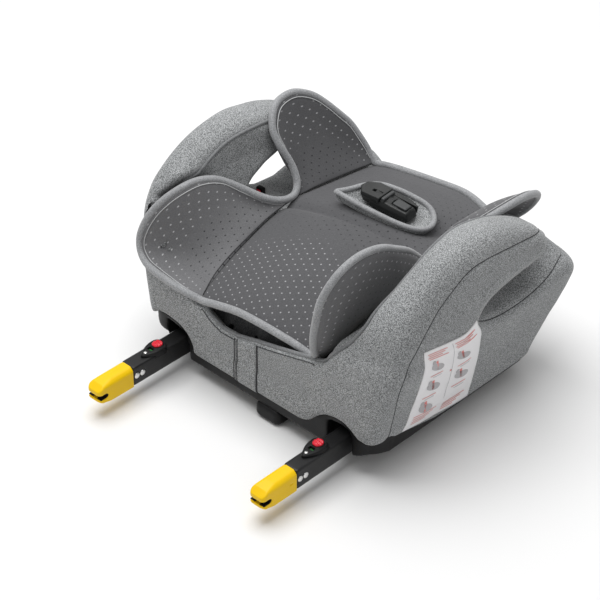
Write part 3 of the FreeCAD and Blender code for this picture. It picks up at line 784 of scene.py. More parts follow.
def pad_mesh(name, base, half, uv, light, show, flip=1):
    """A padded sheet from middle points, half thicknesses, cloth coordinates and dot tones."""
    normal = sheet_normals(base) * flip
    top = base + normal * half[..., None]
    piece = closed_patch(name, top, base - normal * half[..., None], flip < 0)
    data = piece.data
    layer = data.uv_layers.new(name="cloth")
    loops = np.empty(len(data.loops), int)
    data.loops.foreach_get("vertex_index", loops)
    doubled = np.concatenate([uv.reshape(-1, 2), uv.reshape(-1, 2)]) * MM
    layer.data.foreach_set("uv", doubled[loops].ravel())
    for title, values in (("dot_light", light), ("dot_show", show)):
        attribute = data.attributes.new(title, "FLOAT", "POINT")
        attribute.data.foreach_set("value", np.concatenate([values.ravel(), values.ravel()]))
    return piece, top


def wing_pad(name, fold, rim, sag, flip, bright):
    """One wing from its fold to its rim, cupped by sag: the piece, its top and its middle surface."""
    base, width, t = wing_base(fold, rim, sag, flip)
    s = np.linspace(0, 1, base.shape[0])[:, None]
    from_rim = (1 - t) * width
    from_fold = t * width
    half = WING_HALF * soft_edge(from_rim, 14) * (0.55 + 0.45 * soft_edge(from_fold, 16))
    half = half * np.clip(width / 16, 0.25, 1) * (0.4 + 0.6 * step(s, 0.04, 0.22))
    spot = np.stack(np.broadcast_arrays(from_fold + 0 * s, s * line_length(base[:, 0])), axis=-1)
    tone, seen = bright(s, t, from_rim)
    light = np.broadcast_to(tone, half.shape)
    show = np.broadcast_to(seen, half.shape)
    piece, top = pad_mesh(name, base, half, spot, light.copy(), show.copy(), flip)
    return piece, top, base


def step(value, low, high):
    """A smooth step from 0 to 1."""
    s = np.clip((value - low) / (high - low), 0, 1)
    return s * s * (3 - 2 * s)


def wing_dots(s, t, from_rim):
    """Bright dots on the outer part of a wing, dark ones towards its fold."""
    light = np.maximum(step(t + 0 * s, 0.42, 0.56), 1 - step(from_rim, 36, 46))
    show = 0.15 + 0.85 * np.abs(2 * light - 1) * (1 - 0.6 * step(t + 0 * s, 0.8, 1.0))
    show = show * (0.5 + 0.5 * step(s + 0 * t, 0.05, 0.3))
    return light, show


CENTRE_WIDTH = 81  # points
CENTRE_LENGTH = 121
CLOTH_WIDTH, CLOTH_LENGTH = 205, 355  # millimetres
SEAM_SHARE, SEAM_SLANT = 0.53, 0.035  # where the cross seam lies along the insert
DIMPLE_X, DIMPLE_Y, DIMPLE_DEPTH, DIMPLE_RADIUS = -70, -147, 10.0, 24  # under the crotch pad
left_side = np.vstack([resample(spline(FOLD_A), 60)[:-1], resample(spline(FOLD_B), 60)])
right_side = np.vstack([resample(spline(FOLD_C), 60)[:-1], resample(spline(FOLD_D), 60)])
left_side = resample(left_side, CENTRE_LENGTH)
right_side = resample(right_side, CENTRE_LENGTH)
rear_line = resample(spline(REAR_EDGE), CENTRE_WIDTH)[::-1]
front_line = resample(spline(FRONT_EDGE), CENTRE_WIDTH)[::-1]
v = np.linspace(0, 1, CENTRE_LENGTH)[:, None, None]
u = np.linspace(0, 1, CENTRE_WIDTH)[None, :, None]
corner_part = ((1 - u) * (1 - v) * rear_line[0] + u * (1 - v) * rear_line[-1]
               + (1 - u) * v * front_line[0] + u * v * front_line[-1])
centre = ((1 - u) * left_side[:, None, :] + u * right_side[:, None, :]
          + (1 - v) * rear_line[None] + v * front_line[None] - corner_part)
u2, v2 = u[..., 0], v[..., 0]
lift = 3.0 * np.sin(pi * u2) ** 0.7 * step(v2, 0.0, 0.12) * step(1 - v2, 0.0, 0.1)
seam_at = SEAM_SHARE + SEAM_SLANT * (u2 - 0.25)
dip = 5.0 * np.exp(-((v2 - seam_at) * CLOTH_LENGTH / 9) ** 2)
from_dimple = (centre[..., 0] - DIMPLE_X) ** 2 + (centre[..., 1] - DIMPLE_Y) ** 2
hollow = np.exp(-from_dimple / DIMPLE_RADIUS ** 2)
centre[..., 2] += lift - dip - DIMPLE_DEPTH * hollow
rim_gap = CLOTH_LENGTH * np.minimum(v2, 1 - v2)
side_gap = CLOTH_WIDTH * np.minimum(u2, 1 - u2)
centre_half = CENTRE_HALF * soft_edge(rim_gap, 16) * (0.55 + 0.45 * soft_edge(side_gap, 14))
centre_uv = np.stack(np.broadcast_arrays(u2 * CLOTH_WIDTH, v2 * CLOTH_LENGTH), axis=-1)
centre_light = 1 - step(v2 + 0.25 * np.abs(u2 - 0.45), 0.36, 0.47)
centre_show = 0.12 + 0.88 * np.abs(2 * centre_light - 1)
centre_show = centre_show * (0.35 + 0.65 * step(u2 + 0.9 * (0.3 - v2), 0.0, 0.25))
centre_piece, centre_top = pad_mesh("insert_centre", centre - np.array([0, 0, 6.0]), centre_half,
                                    centre_uv, centre_light, centre_show)
finish_piece(centre_piece, "seat_base", INSERT, ("seat_panel",))
wings = {}
for title, fold, rim, sag, flip, cad in (
        ("insert_wing_rear_left", FOLD_A, WING_A, LEFT_SAG, 1, "wing_rear_left"),
        ("insert_wing_front_left", FOLD_B, WING_B, LEFT_SAG, 1, "wing_front_left"),
        ("insert_wing_rear_right", FOLD_C, WING_C, 7, -1, "wing_rear_right"),
        ("insert_wing_front_right", FOLD_D, WING_D, -18, -1, "wing_front_right")):
    piece, top, base = wing_pad(title, fold, rim, sag, flip, wing_dots)
    # the rear wings take the lighter knit copy, which paints light onto them; the front wings keep the
    # plain knit
    finish_piece(piece, "seat_base", INSERT_REAR_LIT if "rear" in title else INSERT, (cad,))
    wings[title] = (top, base)

# the binding round the whole insert, and the stitch line inside it
binding_loop = np.vstack([resample(spline(points), count)[::turn][:-1] for points, count, turn in (
    (REAR_EDGE, 60, 1), (WING_A, 110, 1), (WING_B, 110, 1),
    (FRONT_EDGE, 60, -1), (WING_D, 110, -1), (WING_C, 110, -1))])
binding_loop = resample(binding_loop, 620, closed=True)
for _ in range(3):
    beside = np.roll(binding_loop, 1, axis=0) + np.roll(binding_loop, -1, axis=0)
    binding_loop = 0.5 * binding_loop + 0.25 * beside
binding = mesh_object("insert_binding", *tube(binding_loop, BINDING_RADIUS, sides=14, closed=True))
finish_piece(binding, "seat_base", BINDING)

# ---- carved plastic pieces


def carved(name, low, high, step_mm, shape, rounds=2, mirror=False, place=None):
    """A mesh object carved from a field over a box; shape gives the field from x, y, z."""
    field = Field(low, high, step_mm * (1.0))
    field.value = shape(*field.grid)
    corners, quads = field.surface(rounds)
    if mirror:
        corners = corners * np.array([-1, 1, 1])
        quads = quads[:, ::-1]
    if place is not None:
        corners = place(corners)
    return mesh_object(name, corners, quads)


def block(x, y, z, low, high, soft=1.5):
    """A block with softened edges."""
    part = smooth_most(between(x, low[0], high[0]), between(y, low[1], high[1]), soft)
    return smooth_most(part, between(z, low[2], high[2]), soft)


def flat_outline(loop, first, second):
    """Distance from an outline over the two grids it lies in, worked out once for each pair."""
    pairs = np.stack([first.ravel(), second.ravel()], axis=1)
    unique, back = np.unique(np.round(pairs, 4), axis=0, return_inverse=True)
    found = outline_distance(loop, unique[:, 0], unique[:, 1])
    return found[back.ravel()].reshape(first.shape)


def tray(x, y, z):
    """The black base: its rim below the cover, the arches' lips and the arm channels."""
    a = np.abs(x)
    shell = smooth_most(a - np.interp(z, OUTER_Z, OUTER_X) + 1.6, y - 108.6, 26.0)
    shell = smooth_most(shell, -y - np.interp(z, FRONT_Z, FRONT_Y) + 2.4, 36.0)
    corner = np.interp(a, [150, 160, 190], [0, 5, 17]) * np.clip((y - 66) / 34, 0, 1)
    left_corner = np.interp(a, [152, 160, 190], [0, 24, 25]) * np.clip((y - 72) / 26, 0, 1)
    corner = np.where(x > 0, left_corner, corner)
    flat_x, flat_z = np.meshgrid(x[:, 0, 0], z[0, 0], indexing="ij")
    arch = arch_field(flat_x, flat_z)[:, None, :]
    hood = np.maximum(np.maximum(arch - 1.2, 22 - z), 66 - y)
    body = smooth_least(smooth_most(shell, z - 58, 3.0), smooth_most(shell, hood, 3.0), 2.0)
    body = smooth_most(body, 22 + corner - z, 3.0)
    hole = np.maximum(np.maximum(arch + 7.5, 119 - a), np.maximum(a - 157.5, 74 - y))
    body = smooth_most(body, -hole, 2.5)
    passage = np.maximum(between(a, 122.6, 153.8), between(z, 0, 61.2))
    body = smooth_most(body, -np.maximum(passage, 20 - y), 1.5)
    channel = np.maximum(between(a, 126.2, 153.8), np.maximum(between(z, 10, 53), -186 - y))
    body = smooth_most(body, -channel, 1.5)
    rod_slot = block(x, y, z, (-14, -230, 47), (14, -150, 59), 0.5)
    inside = np.maximum(np.maximum(shell + 5, z - 57), 26.5 - z)
    room = np.maximum(inside, np.maximum(a - 118, y - 92))
    return np.maximum(np.maximum(body, -room), -rod_slot)


base_piece = carved("base_tray", (-200, -236, 18), (200, 116, 92), 2.4, tray, 2)
finish_piece(base_piece, "seat_base", BLACK, ("base_shell",))

# latch arms
ARM_X = 140
PIN_Y, PIN_Z = 231, 41
BUTTON_X, BUTTON_Y = 138, 145
HOOK_OPEN = 40  # degrees
CONNECTOR_HALF, CONNECTOR_TOP, CONNECTOR_END = 12, 51.3, 250.6
CONNECTOR_SIDE = [(194.2, 21.4), (194.2, CONNECTOR_TOP), (228, CONNECTOR_TOP), (242, 48.6),
                  (CONNECTOR_END, 42), (CONNECTOR_END, 36.6), (239.2, 36.6), (236.6, 35), (236, 33.4),
                  (236.6, 31.8), (239.2, 30.2), (CONNECTOR_END, 30.2), (CONNECTOR_END, 27.6), (246, 25),
                  (232, 21.8)]
HOUSING_PLAN = [(139, 134), (145.5, 135.5), (149, 140), (149.6, 148), (148, 156.5), (145, 164),
                (141, 170.5), (138, 172.5), (135, 170.5), (131, 164), (127.8, 156.5), (126.4, 148),
                (127, 140), (131.5, 135.5)]


def connector(x, y, z):
    """Yellow connector with its open jaw, a room for the hook and chamfered top edges."""
    off = np.abs(x - ARM_X)
    side = flat_outline(CONNECTOR_SIDE, y, z)
    past = off - CONNECTOR_HALF
    body = smooth_most(side, past, 2.0)
    body = smooth_most(body, (past + z - CONNECTOR_TOP + 4.6) * 0.71, 2.0)
    body = smooth_most(body, (past + y - CONNECTOR_END + 3.0) * 0.71, 2.0)
    room = np.maximum(off - 3.1, np.maximum(between(y, 216, 248), between(z, 30.2, 49.3)))
    room = np.maximum(room, np.where((z > 37.5) & ((y > 244) | (z > 42)), side + 1.9, -9))
    mark = block(x, y, z, (150.9, 201, 36.4), (155, 207, 38.2), 0.4)
    pin_hole = np.maximum(np.hypot(y - PIN_Y, z - PIN_Z) - 2.6, off - 10)
    return np.maximum(np.maximum(np.maximum(body, -room), -mark), -pin_hole)


def housing(x, y, z):
    """Oval housing on the arm, with a slot for the button's stem and a window."""
    plan = flat_outline(resample(spline(HOUSING_PLAN, closed=True), 60, closed=True), x, y)
    body = smooth_most(plan, z - np.interp(y, [131, 150, 173], [56, 56, 53.8]), 3.2)
    body = np.maximum(body, 45 - z)
    inner = np.maximum(body, np.maximum(between(x, 128.7, 151.3), between(z, 0, 50.05)))
    well = np.maximum(np.maximum(np.abs(x - BUTTON_X) - 2.2, between(y, 140.1, 151.5)), 51.5 - z)
    window = block(x, y, z, (134.2, 153.6, 50.4), (142.2, 158.6, 60), 0.6)
    rim = np.abs(plan + 3.4) - 0.35
    line = np.maximum(rim, 55.1 - z)
    return np.maximum(np.maximum(np.maximum(np.maximum(body, -inner), -well), -window), -line)


def button(x, y, z):
    """Red release button with ribs across it, on a short stem that runs in the housing's slot."""
    plan = np.hypot((x - BUTTON_X) * 1.02, (y - BUTTON_Y) * 0.9) - 6.6
    top = 58.8 + 0.55 * np.cos((y - BUTTON_Y) * 2 * pi / 4.2) - 0.02 * (x - BUTTON_X) ** 2
    cap = np.maximum(smooth_most(np.maximum(plan, y - 151.9), (z - top) * 0.8, 1.4), 56.25 - z)
    stem = np.maximum(np.abs(x - BUTTON_X) - 1.7, between(y, 140.4, 143.2))
    return np.minimum(cap, np.maximum(stem, between(z, 52.6, 57.5)))


def arm(x, y, z):
    """Black latch arm, open at its front end."""
    off = np.abs(x - ARM_X)
    body = smooth_most(smooth_most(off - 10.9, between(y, -70, 194), 2.2), between(z, 22.1, 49.95), 2.2)
    hollow = np.maximum(off - 8.8, np.maximum(between(z, 24.2, 47.8), y - 190))
    return np.maximum(body, -hollow)


def hook(x, y, z):
    """Steel hook seen in the jaw, open."""
    turn = radians(HOOK_OPEN)
    dy, dz = y - PIN_Y, z - PIN_Z
    back_y = dy * cos(turn) + dz * sin(turn) + PIN_Y
    back_z = -dy * sin(turn) + dz * cos(turn) + PIN_Z
    outline = [(224.5, 37.2), (225.3, 44.6), (236.5, 44.2), (240.8, 40.6), (243.2, 37), (243.0, 32.6),
               (240.6, 32.3), (239.8, 36.9), (235.5, 37.4), (228, 36.7)]
    plate = smooth_most(outline_distance(outline, back_y, back_z), np.abs(x - ARM_X) - 2.45, 0.5)
    return np.maximum(plate, 2.55 - np.hypot(dy, dz))


def jaw_liner(x, y, z):
    """Dark lining of the jaw."""
    gap = flat_outline([(253, 36.5), (239.4, 36.5), (236.8, 35), (236.2, 33.4), (236.8, 31.8),
                        (239.4, 30.3), (253, 30.3)], y, z)
    skin = np.maximum(np.maximum(gap - 0.5, -gap - 0.5), between(y, 235, 248.6))
    return np.maximum(skin, between(np.abs(x - ARM_X), 3.3, 11.2))


def lens(x, y, z):
    """Window in the housing that shows whether the hook holds."""
    return block(x, y, z, (134.4, 153.8, 50.1), (142.0, 158.4, 52.4), 0.8)


def stud(across, along, up, radius, tall, sideways):
    """Corners and faces of a domed stud that points sideways or up; a negative height points it back."""
    corners = []
    profile = [(0.0, 1.0), (tall * 0.7, 1.0), (tall * 0.92, 0.8), (tall, 0.45), (tall, 0.0)]
    for height, share in profile:
        for k in range(20):
            turned = (cos(k * pi / 10) * radius * share, sin(k * pi / 10) * radius * share)
            corners.append((across + height, along + turned[0], up + turned[1]) if sideways
                           else (across + turned[0], along + turned[1], up + height))
    faces = ring_faces(len(profile), 20) + [[19 - k for k in range(20)]]
    return np.array(corners), [face[::-1] for face in faces] if tall < 0 else faces


# across, along, up, radius, height, sideways: four rivets and the pin on the housing
RIVETS = ((150.2, 179, 35.8, 4.0, 1.6, True), (150.2, 188.2, 35.8, 4.0, 1.6, True),
          (129.8, 179, 35.8, 4.0, -1.6, True), (129.8, 188.2, 35.8, 4.0, -1.6, True),
          (BUTTON_X, 165, 52.6, 2.6, 2.4, False))
for side, word in ((1, "left"), (-1, "right")):
    flip = side < 0
    for title, low, high, grain, shape, body, slot, material, replaced in (
            ("latch_arm", (127, -72, 20), (153, 196, 52), 1.6, arm,
             "isofix_frame", "black_steel", ARM_BLACK, ("latch_tube_" + word,)),
            ("latch_connector", (126.5, 192, 19.5), (153.5, 252.5, 53), 0.8, connector,
             "isofix_frame", "connector_yellow", YELLOW, ("connector_" + word,)),
            ("jaw_lining", (127, 233, 28), (153, 250, 39), 0.45, jaw_liner,
             "isofix_frame", "black_steel", BLACK, ()),
            ("arm_housing", (122, 129, 43.5), (153, 181, 59), 0.75, housing,
             "isofix_frame", "shell_plastic", BLACK, ("button_housing_" + word,)),
            ("release_tab", (127, 133, 50.5), (149, 155, 61), 0.6, button,
             "button_" + word, "release_red", RED, ("release_button_" + word,)),
            ("jaw_hook", (136, 215, 27), (144, 255, 60), 0.6, hook,
             "hook_" + word, "bright_steel", STEEL, ("latch_hook_" + word,)),
            ("status_window", (131, 153, 49), (145, 163, 54), 0.7, lens,
             "isofix_frame", "indicator_green", GREEN, ("indicator_" + word,))):
        piece = carved("%s_%s" % (title, word), low, high, grain, shape, 1, flip)
        finish_piece(piece, body, material, replaced)
    for title, (some, faces), replaced in (
            ("arm_rivets_" + word, joined([stud(*row) for row in RIVETS]), "latch_rivets"),
            ("jaw_pin_" + word, stud(130.5, PIN_Y, PIN_Z, 2.5, 19, True), "hook_pin_" + word)):
        if flip:
            faces = [face[::-1] for face in faces]
        piece = mesh_object(title, some * np.array([side, 1, 1]), faces)
        finish_piece(piece, "isofix_frame", STEEL, (replaced,))

# ---- crotch pad and clip

# rim in the pad's own frame: along, across, up
PAD_RIM = [(129, 10, 11), (121, 15, 12), (107, 21, 12), (88, 28, 12), (66, 35, 12), (43, 41, 11.5),
           (21, 43, 11), (7, 38, 10), (0, 25, 8.5), (0, 10, 8.5), (7, -6, 10), (19, -15, 12),
           (34, -19, 14), (54, -21, 17), (78, -20, 19), (98, -12, 17), (114, -1, 13), (124, 5, 11)]
PAD_ROOT = np.array([-52, -156, 182.0])
PAD_HEADING, PAD_SLOPE, CLIP_HEADING = 26.6, -7, -20  # degrees
pad_turn = Matrix.Rotation(radians(PAD_HEADING), 3, "Z") @ Matrix.Rotation(radians(PAD_SLOPE), 3, "Y")


def on_pad(corners):
    """From the pad's own frame to the seat's."""
    turn = np.array([list(row) for row in pad_turn])
    return np.asarray(corners) @ turn.T + PAD_ROOT


def on_clip(corners):
    """From the clip's own frame, which is turned on the pad, to the seat's."""
    u, v, w = (np.asarray(corners) - np.array([75, 0, 3.0])).T
    c, s = cos(radians(CLIP_HEADING)), sin(radians(CLIP_HEADING))
    return on_pad(np.stack([61 + u * c - v * s, 9 + u * s + v * c, w], axis=1))


PAD_SIDES = 120
pad_rim = resample(spline(PAD_RIM, closed=True), PAD_SIDES, closed=True)
PAD_MIDDLE = np.array([58.0, 9.0, 0.0])
# rings from the underside's middle to the top's: share of the rim's reach, share of its height, shift
PAD_RINGS = ((0.12, 0, -2.0), (0.45, 0, -2.0), (0.75, 0, -1.6), (0.90, 0.08, -1.0), (0.97, 0.3, -0.6),
             (1.0, 0.6, 0.0), (0.985, 1.03, 0.0), (0.93, 0.95, 0.0), (0.84, 0.72, 0.0), (0.68, 0.52, 0.0),
             (0.40, 0.4, 0.5), (0.12, 0.38, 0.8))
rings = []
for share, height, shift in PAD_RINGS:
    ring = PAD_MIDDLE + (pad_rim - PAD_MIDDLE) * share
    ring[:, 2] = pad_rim[:, 2] * height + shift
    rings.append(ring)
pad_faces = [face[::-1] for face in ring_faces(len(rings), PAD_SIDES)]
last_ring = PAD_SIDES * (len(rings) - 1)
pad_faces += [list(range(PAD_SIDES)), [last_ring + k for k in range(PAD_SIDES)][::-1]]
pad_piece = mesh_object("crotch_pad", on_pad(np.vstack(rings)), pad_faces)
finish_piece(pad_piece, "crotch_pad", COVER, ("strap_pad",))
rim_line = PAD_MIDDLE + (pad_rim - PAD_MIDDLE) * np.array([0.985, 0.985, 1])
rim_line = on_pad(rim_line + np.array([0, 0, 0.6]))
rim_piece = mesh_object("crotch_pad_piping", *tube(rim_line, 3.4, sides=14, closed=True))
finish_piece(rim_piece, "crotch_pad", BINDING)


def clip_body(u, v, w):
    """Clip housing: a tapering body with a sloped near side and a pocket for its key."""
    half = np.interp(u, [36, 60, 92], [10.5, 13, 15])
    top = np.interp(u, [36, 92], [25.5, 29.5]) - 0.22 * np.abs(v - 1)
    body = smooth_most(np.abs(v - 1) + 0.30 * np.clip(w - 19, 0, 12) - half, between(u, 36, 94), 1.6)
    body = smooth_most(body, (w - top) * 0.95, 1.4)
    body = smooth_most(body, (37.5 - u + 0.35 * (w - 14)) * 0.9, 2.0)
    body = np.maximum(body, 12.8 - w)
    pocket = block(u, v, w, (44, -6, 18.5), (66, 8, 36), 0.8)
    groove = np.maximum(np.abs(v + 6.8 - 0.03 * (u - 60)) - 0.45, np.maximum(27 - w, u - 74))
    return np.maximum(np.maximum(body, -pocket), -groove)


def clip_head(u, v, w):
    """Flat six-sided head with a slot."""
    plan = flat_outline([(80, -14.5), (100, -16), (113, -7), (115, 5), (107, 17), (80, 16.5)], u, v)
    top = np.interp(u, [80, 115], [30.5, 28.5])
    body = smooth_most(plan + 0.45 * np.clip(24 - w, 0, 9), w - top, 1.3)
    body = np.maximum(body, 13.8 - w)
    slot = block(u, v, w, (84, 1.0, 25), (97, 6.4, 36), 0.6)
    return np.maximum(body, -slot)


def clip_catch(u, v, w):
    """Curved catch behind the body."""
    bow = np.hypot((u - 66) * 0.5, v + 4) - 16.5
    body = smooth_most(bow, w - 25, 2.0)
    return np.maximum(np.maximum(body, v + 11.5), np.maximum(14.8 - w, between(u, 40, 94)))


def clip_key(u, v, w):
    """Key of the clip."""
    return block(u, v, w, (44.6, -5.5, 24), (65.4, 7.5, 27.4), 1.4)


def clip_ridge(u, v, w):
    """Light ridge across the clip."""
    return block(u, v, w, (74, -11.5, 24), (79, 13.5, 30.8), 1.4)


for title, low, high, grain, shape, body, material, replaced in (
        ("clip_body", (30, -18, 11), (97, 20, 33), 0.9, clip_body,
         "crotch_pad", CLIP, ("clip_housing",)),
        ("clip_nose", (77, -19, 12), (118, 20, 33), 0.9, clip_head,
         "crotch_pad", CLIP, ("clip_head",)),
        ("clip_bow", (36, -24, 13), (98, -9, 28), 0.9, clip_catch,
         "crotch_pad", CLIP, ("clip_catch",)),
        ("clip_key_cap", (42, -9, 22), (69, 11, 32), 0.9, clip_key,
         "clip_key", CLIP_LIGHT, ("clip_button",)),
        ("clip_band", (70, -17, 22), (84, 19, 34), 0.8, clip_ridge,
         "crotch_pad", CLIP_LIGHT, ())):
    piece = carved(title, low, high, grain, shape, 1, place=on_clip)
    finish_piece(piece, body, material, replaced)

# ---- label, tab, guides, opening


def skin_patch(corner_lines, lift, thick, columns, rows, bow=(0, 0)):
    """Top and underside of a thin patch on the cover between two lines, its sides bowed along y."""
    first = resample(spline(corner_lines[0]), columns)
    second = resample(spline(corner_lines[1]), columns)
    t = np.linspace(0, 1, rows)[:, None, None]
    grid = first[None] * (1 - t) + second[None] * t
    grid[..., 1] += 4 * t[..., 0] * (1 - t[..., 0]) * np.linspace(bow[0], bow[1], columns)
    flat = cover.onto(grid.reshape(-1, 3), 0.0)
    away = cover.slope(flat)
    top = (flat + away * lift).reshape(grid.shape)
    low = (flat + away * (lift - thick)).reshape(grid.shape)
    return top, low


LABEL_TOP = [(-220, 57.5, 184), (-219, 33, 178.5), (-218, 10, 173.5), (-218, -18, 170),
             (-219, -37, 179)]
LABEL_LOW = [(-188, 55, 50), (-187, 24, 42), (-186, -8.5, 38), (-185.5, -41, 33), (-185, -69, 31)]
top, low = skin_patch((LABEL_TOP, LABEL_LOW), 0.9, 1.4, 40, 60, (-8, -14))
label_piece = closed_patch("care_tag", top, low, True)
LABEL = plastic("label_white", (0.80, 0.79, 0.80), 0.6, grain=600, depth=0.00005, wear=0.05)
finish_piece(label_piece, "seat_base", LABEL, ("care_label",))
MARK_GREY = plastic("print_grey", (0.42, 0.41, 0.42), 0.7, wear=0.2)
MARK_RED = plastic("print_red", (0.70, 0.24, 0.22), 0.7, wear=0.2)


def label_spot(across, down):
    """A place on the label, from shares across and down it."""
    columns, rows = top.shape[1] - 1, top.shape[0] - 1
    i = np.clip(np.asarray(down, float) * rows, 0, rows - 1e-6)
    j = np.clip(np.asarray(across, float) * columns, 0, columns - 1e-6)
    i0, j0 = i.astype(int), j.astype(int)
    fi, fj = (i - i0)[..., None], (j - j0)[..., None]
    return (top[i0, j0] * (1 - fi) * (1 - fj) + top[i0 + 1, j0] * fi * (1 - fj)
            + top[i0, j0 + 1] * (1 - fi) * fj + top[i0 + 1, j0 + 1] * fi * fj)


def print_shape(loop):
    """A flat printed shape on the label from an outline in shares across and down it."""
    loop = np.array(loop, float)
    middle = loop.mean(0)
    rings = [middle + (loop - middle) * share for share in (1.0, 0.66, 0.33)]
    spots = np.concatenate([label_spot(*ring.T) for ring in rings] + [label_spot(*middle)[None]])
    spots = spots + np.array([-0.35, 0, 0.05])
    count = len(loop)
    faces = ring_faces(3, count)
    for k in range(count):
        faces.append([2 * count + k, 2 * count + (k + 1) % count, 3 * count])
    return spots, faces


def bar(x0, y0, x1, y1, wide):
    """Outline of a bar between two places."""
    ahead = np.array([x1 - x0, y1 - y0])
    side = np.array([-ahead[1], ahead[0]]) / (np.linalg.norm(ahead) + 1e-9) * wide / 2
    a, b = np.array([x0, y0]), np.array([x1, y1])
    return [a + side, (a + b) / 2 + side, b + side, b - side, (a + b) / 2 - side, a - side]


def blob(x0, y0, wide, tall, turn=0.0, power=2.4):
    """Outline of a rounded shape."""
    angles = np.arange(14) * 2 * pi / 14
    c, s = np.cos(angles), np.sin(angles)
    px = np.sign(c) * np.abs(c) ** (2 / power) * wide / 2
    py = np.sign(s) * np.abs(s) ** (2 / power) * tall / 2
    return np.stack([x0 + px * cos(turn) - py * sin(turn), y0 + px * sin(turn) + py * cos(turn)], axis=1)


grey_marks, red_marks = [], []
for x0, y0 in ((0.70, 0.26), (0.24, 0.22), (0.72, 0.55), (0.25, 0.50), (0.24, 0.77)):
    grey_marks.append(print_shape(blob(x0, y0 + 0.03, 0.24, 0.10, 0.3)))
    grey_marks.append(print_shape(blob(x0 - 0.08, y0 - 0.05, 0.06, 0.05)))
    red_marks.append(print_shape(bar(x0 - 0.03, y0 - 0.06, x0 + 0.01, y0 + 0.07, 0.035)))
for row in range(4):
    y0, y1, y2 = 0.05 + 0.022 * row, 0.86 + 0.026 * row, 0.89 + 0.024 * row
    for x0, x1 in ((0.06, 0.42), (0.56, 0.92)):
        red_marks.append(print_shape(bar(x0 + 0.02 * (row % 2), y0, x1 - 0.05 * (row % 3), y0, 0.008)))
    red_marks.append(print_shape(bar(0.08, y1, 0.44 - 0.04 * row, y1, 0.008)))
    red_marks.append(print_shape(bar(0.56, y2, 0.90 - 0.05 * row, y2, 0.008)))
for x0, y0 in ((0.62, 0.42), (0.60, 0.70), (0.14, 0.36), (0.12, 0.65)):
    red_marks.append(print_shape(bar(x0, y0, x0 + 0.22, y0, 0.009)))
    grey_marks.append(print_shape(bar(x0 + 0.05, y0 + 0.03, x0 + 0.2, y0 + 0.03, 0.007)))
red_marks.append(print_shape(blob(0.50, 0.42, 0.03, 0.025)))
for y0, y1 in ((0.03, 0.30), (0.30, 0.56), (0.56, 0.80)):
    grey_marks.append(print_shape(bar(0.52, y0, 0.52, y1, 0.006)))
for title, marks, material in (("tag_print_grey", grey_marks, MARK_GREY),
                               ("tag_print_red", red_marks, MARK_RED)):
    finish_piece(mesh_object(title, *joined(marks)), "seat_base", material)

# rear tab with its seams
REAR_WALL = 110
TAB_LEFT = [(-1, REAR_WALL, up) for up in (108, 80, 54, 34)]
TAB_RIGHT = [(35, REAR_WALL, up) for up in (100, 78, 54, 34)]
tab_top, tab_low = skin_patch((TAB_LEFT, TAB_RIGHT), 1.3, 2.2, 24, 14)
tab_piece = closed_patch("rear_tab", tab_top, tab_low)
finish_piece(tab_piece, "seat_base", COVER, ("cover_tab",))
tab_seams = []
for x0, wide, drop in ((36.2, 1.3, 0), (-2.0, 0.9, 0), (31.0, 0.5, 1.6), (33.2, 0.35, 1.6)):
    line = np.array([(x0, REAR_WALL, z0) for z0 in np.linspace(107 - 0.2 * abs(x0), 34.5, 26)])
    tab_seams.append(tube(cover.onto(line, 1.5 if drop else 0.4), wide, sides=6))
finish_piece(mesh_object("tab_seams", *joined(tab_seams)), "seat_base", THREAD)

# piping on the edge of the rear opening, running on up both armrests
edge_line = np.array([(x0, 104, np.interp(x0, EDGE_X, EDGE_Z)) for x0 in np.linspace(97, -97, 60)])
edge_line = cover.onto(resample(edge_line, 70), 1.0)
edge_seam = edge_line + np.array([0, 4.0, -5.0])
edge_seam = cover.onto(edge_seam, 0.2)
for title, line, radius, sides, material in (("opening_piping", edge_line, 2.4, 10, PIPING),
                                             ("opening_seam", edge_seam, 0.5, 6, THREAD)):
    piece = mesh_object(title, *tube(line, radius, sides=sides))
    finish_piece(piece, "seat_base", material)

# folded lining inside the opening, with a strap end
rows, columns = 26, 60
across_x = np.linspace(-92, 94, columns)[None, :]
down = np.linspace(0, 1, rows)[:, None]
folds = 2.6 * np.sin(across_x * 0.11 + 3 * down) + 1.6 * np.sin(across_x * 0.23 - 2 * down)
lining_y = 82 + 12.5 * down ** 1.2 + folds * 0.8 * np.sin(pi * down)
rear_low = np.interp(across_x, EDGE_X, EDGE_Z)
lining_z = ((124 - 0.0009 * across_x ** 2) * (1 - down) + (rear_low - 14) * down
            - 10 * np.sin(pi * down) + 0.5 * folds)
grid = np.stack(np.broadcast_arrays(across_x, lining_y, lining_z), axis=-1)
lining = closed_patch("opening_lining", grid + np.array([0, 0.5, 0.8]), grid - np.array([0, 0.5, 0.8]))
finish_piece(lining, "seat_base", LINING)

# belt guides: a black frame with a red pad in it


def guide_frame(x, y, z):
    """Black frame of a belt guide."""
    return block(x, y, z, (159.5, -70, 156), (170.5, -63, 178.5), 1.2)


def guide_pad(x, y, z):
    """Red pad in the guide's frame, ribbed across."""
    return block(x, y, z + 0.3 * np.cos(x * 2 * pi / 3), (161.8, -71, 160), (169.2, -61.6, 175.6), 0.9)


for side, word in ((1, "left"), (-1, "right")):
    flip = side < 0
    guide = carved("guide_frame_" + word, (156, -74, 155), (174, -59, 185), 0.8, guide_frame, 1, flip)
    finish_piece(guide, "seat_base", BLACK, ("belt_guide_" + word,))
    pad = carved("guide_pad_" + word, (158, -74, 158), (173, -58, 183), 0.8, guide_pad, 1, flip)
    finish_piece(pad, "seat_base", RED, ("belt_insert_" + word,))

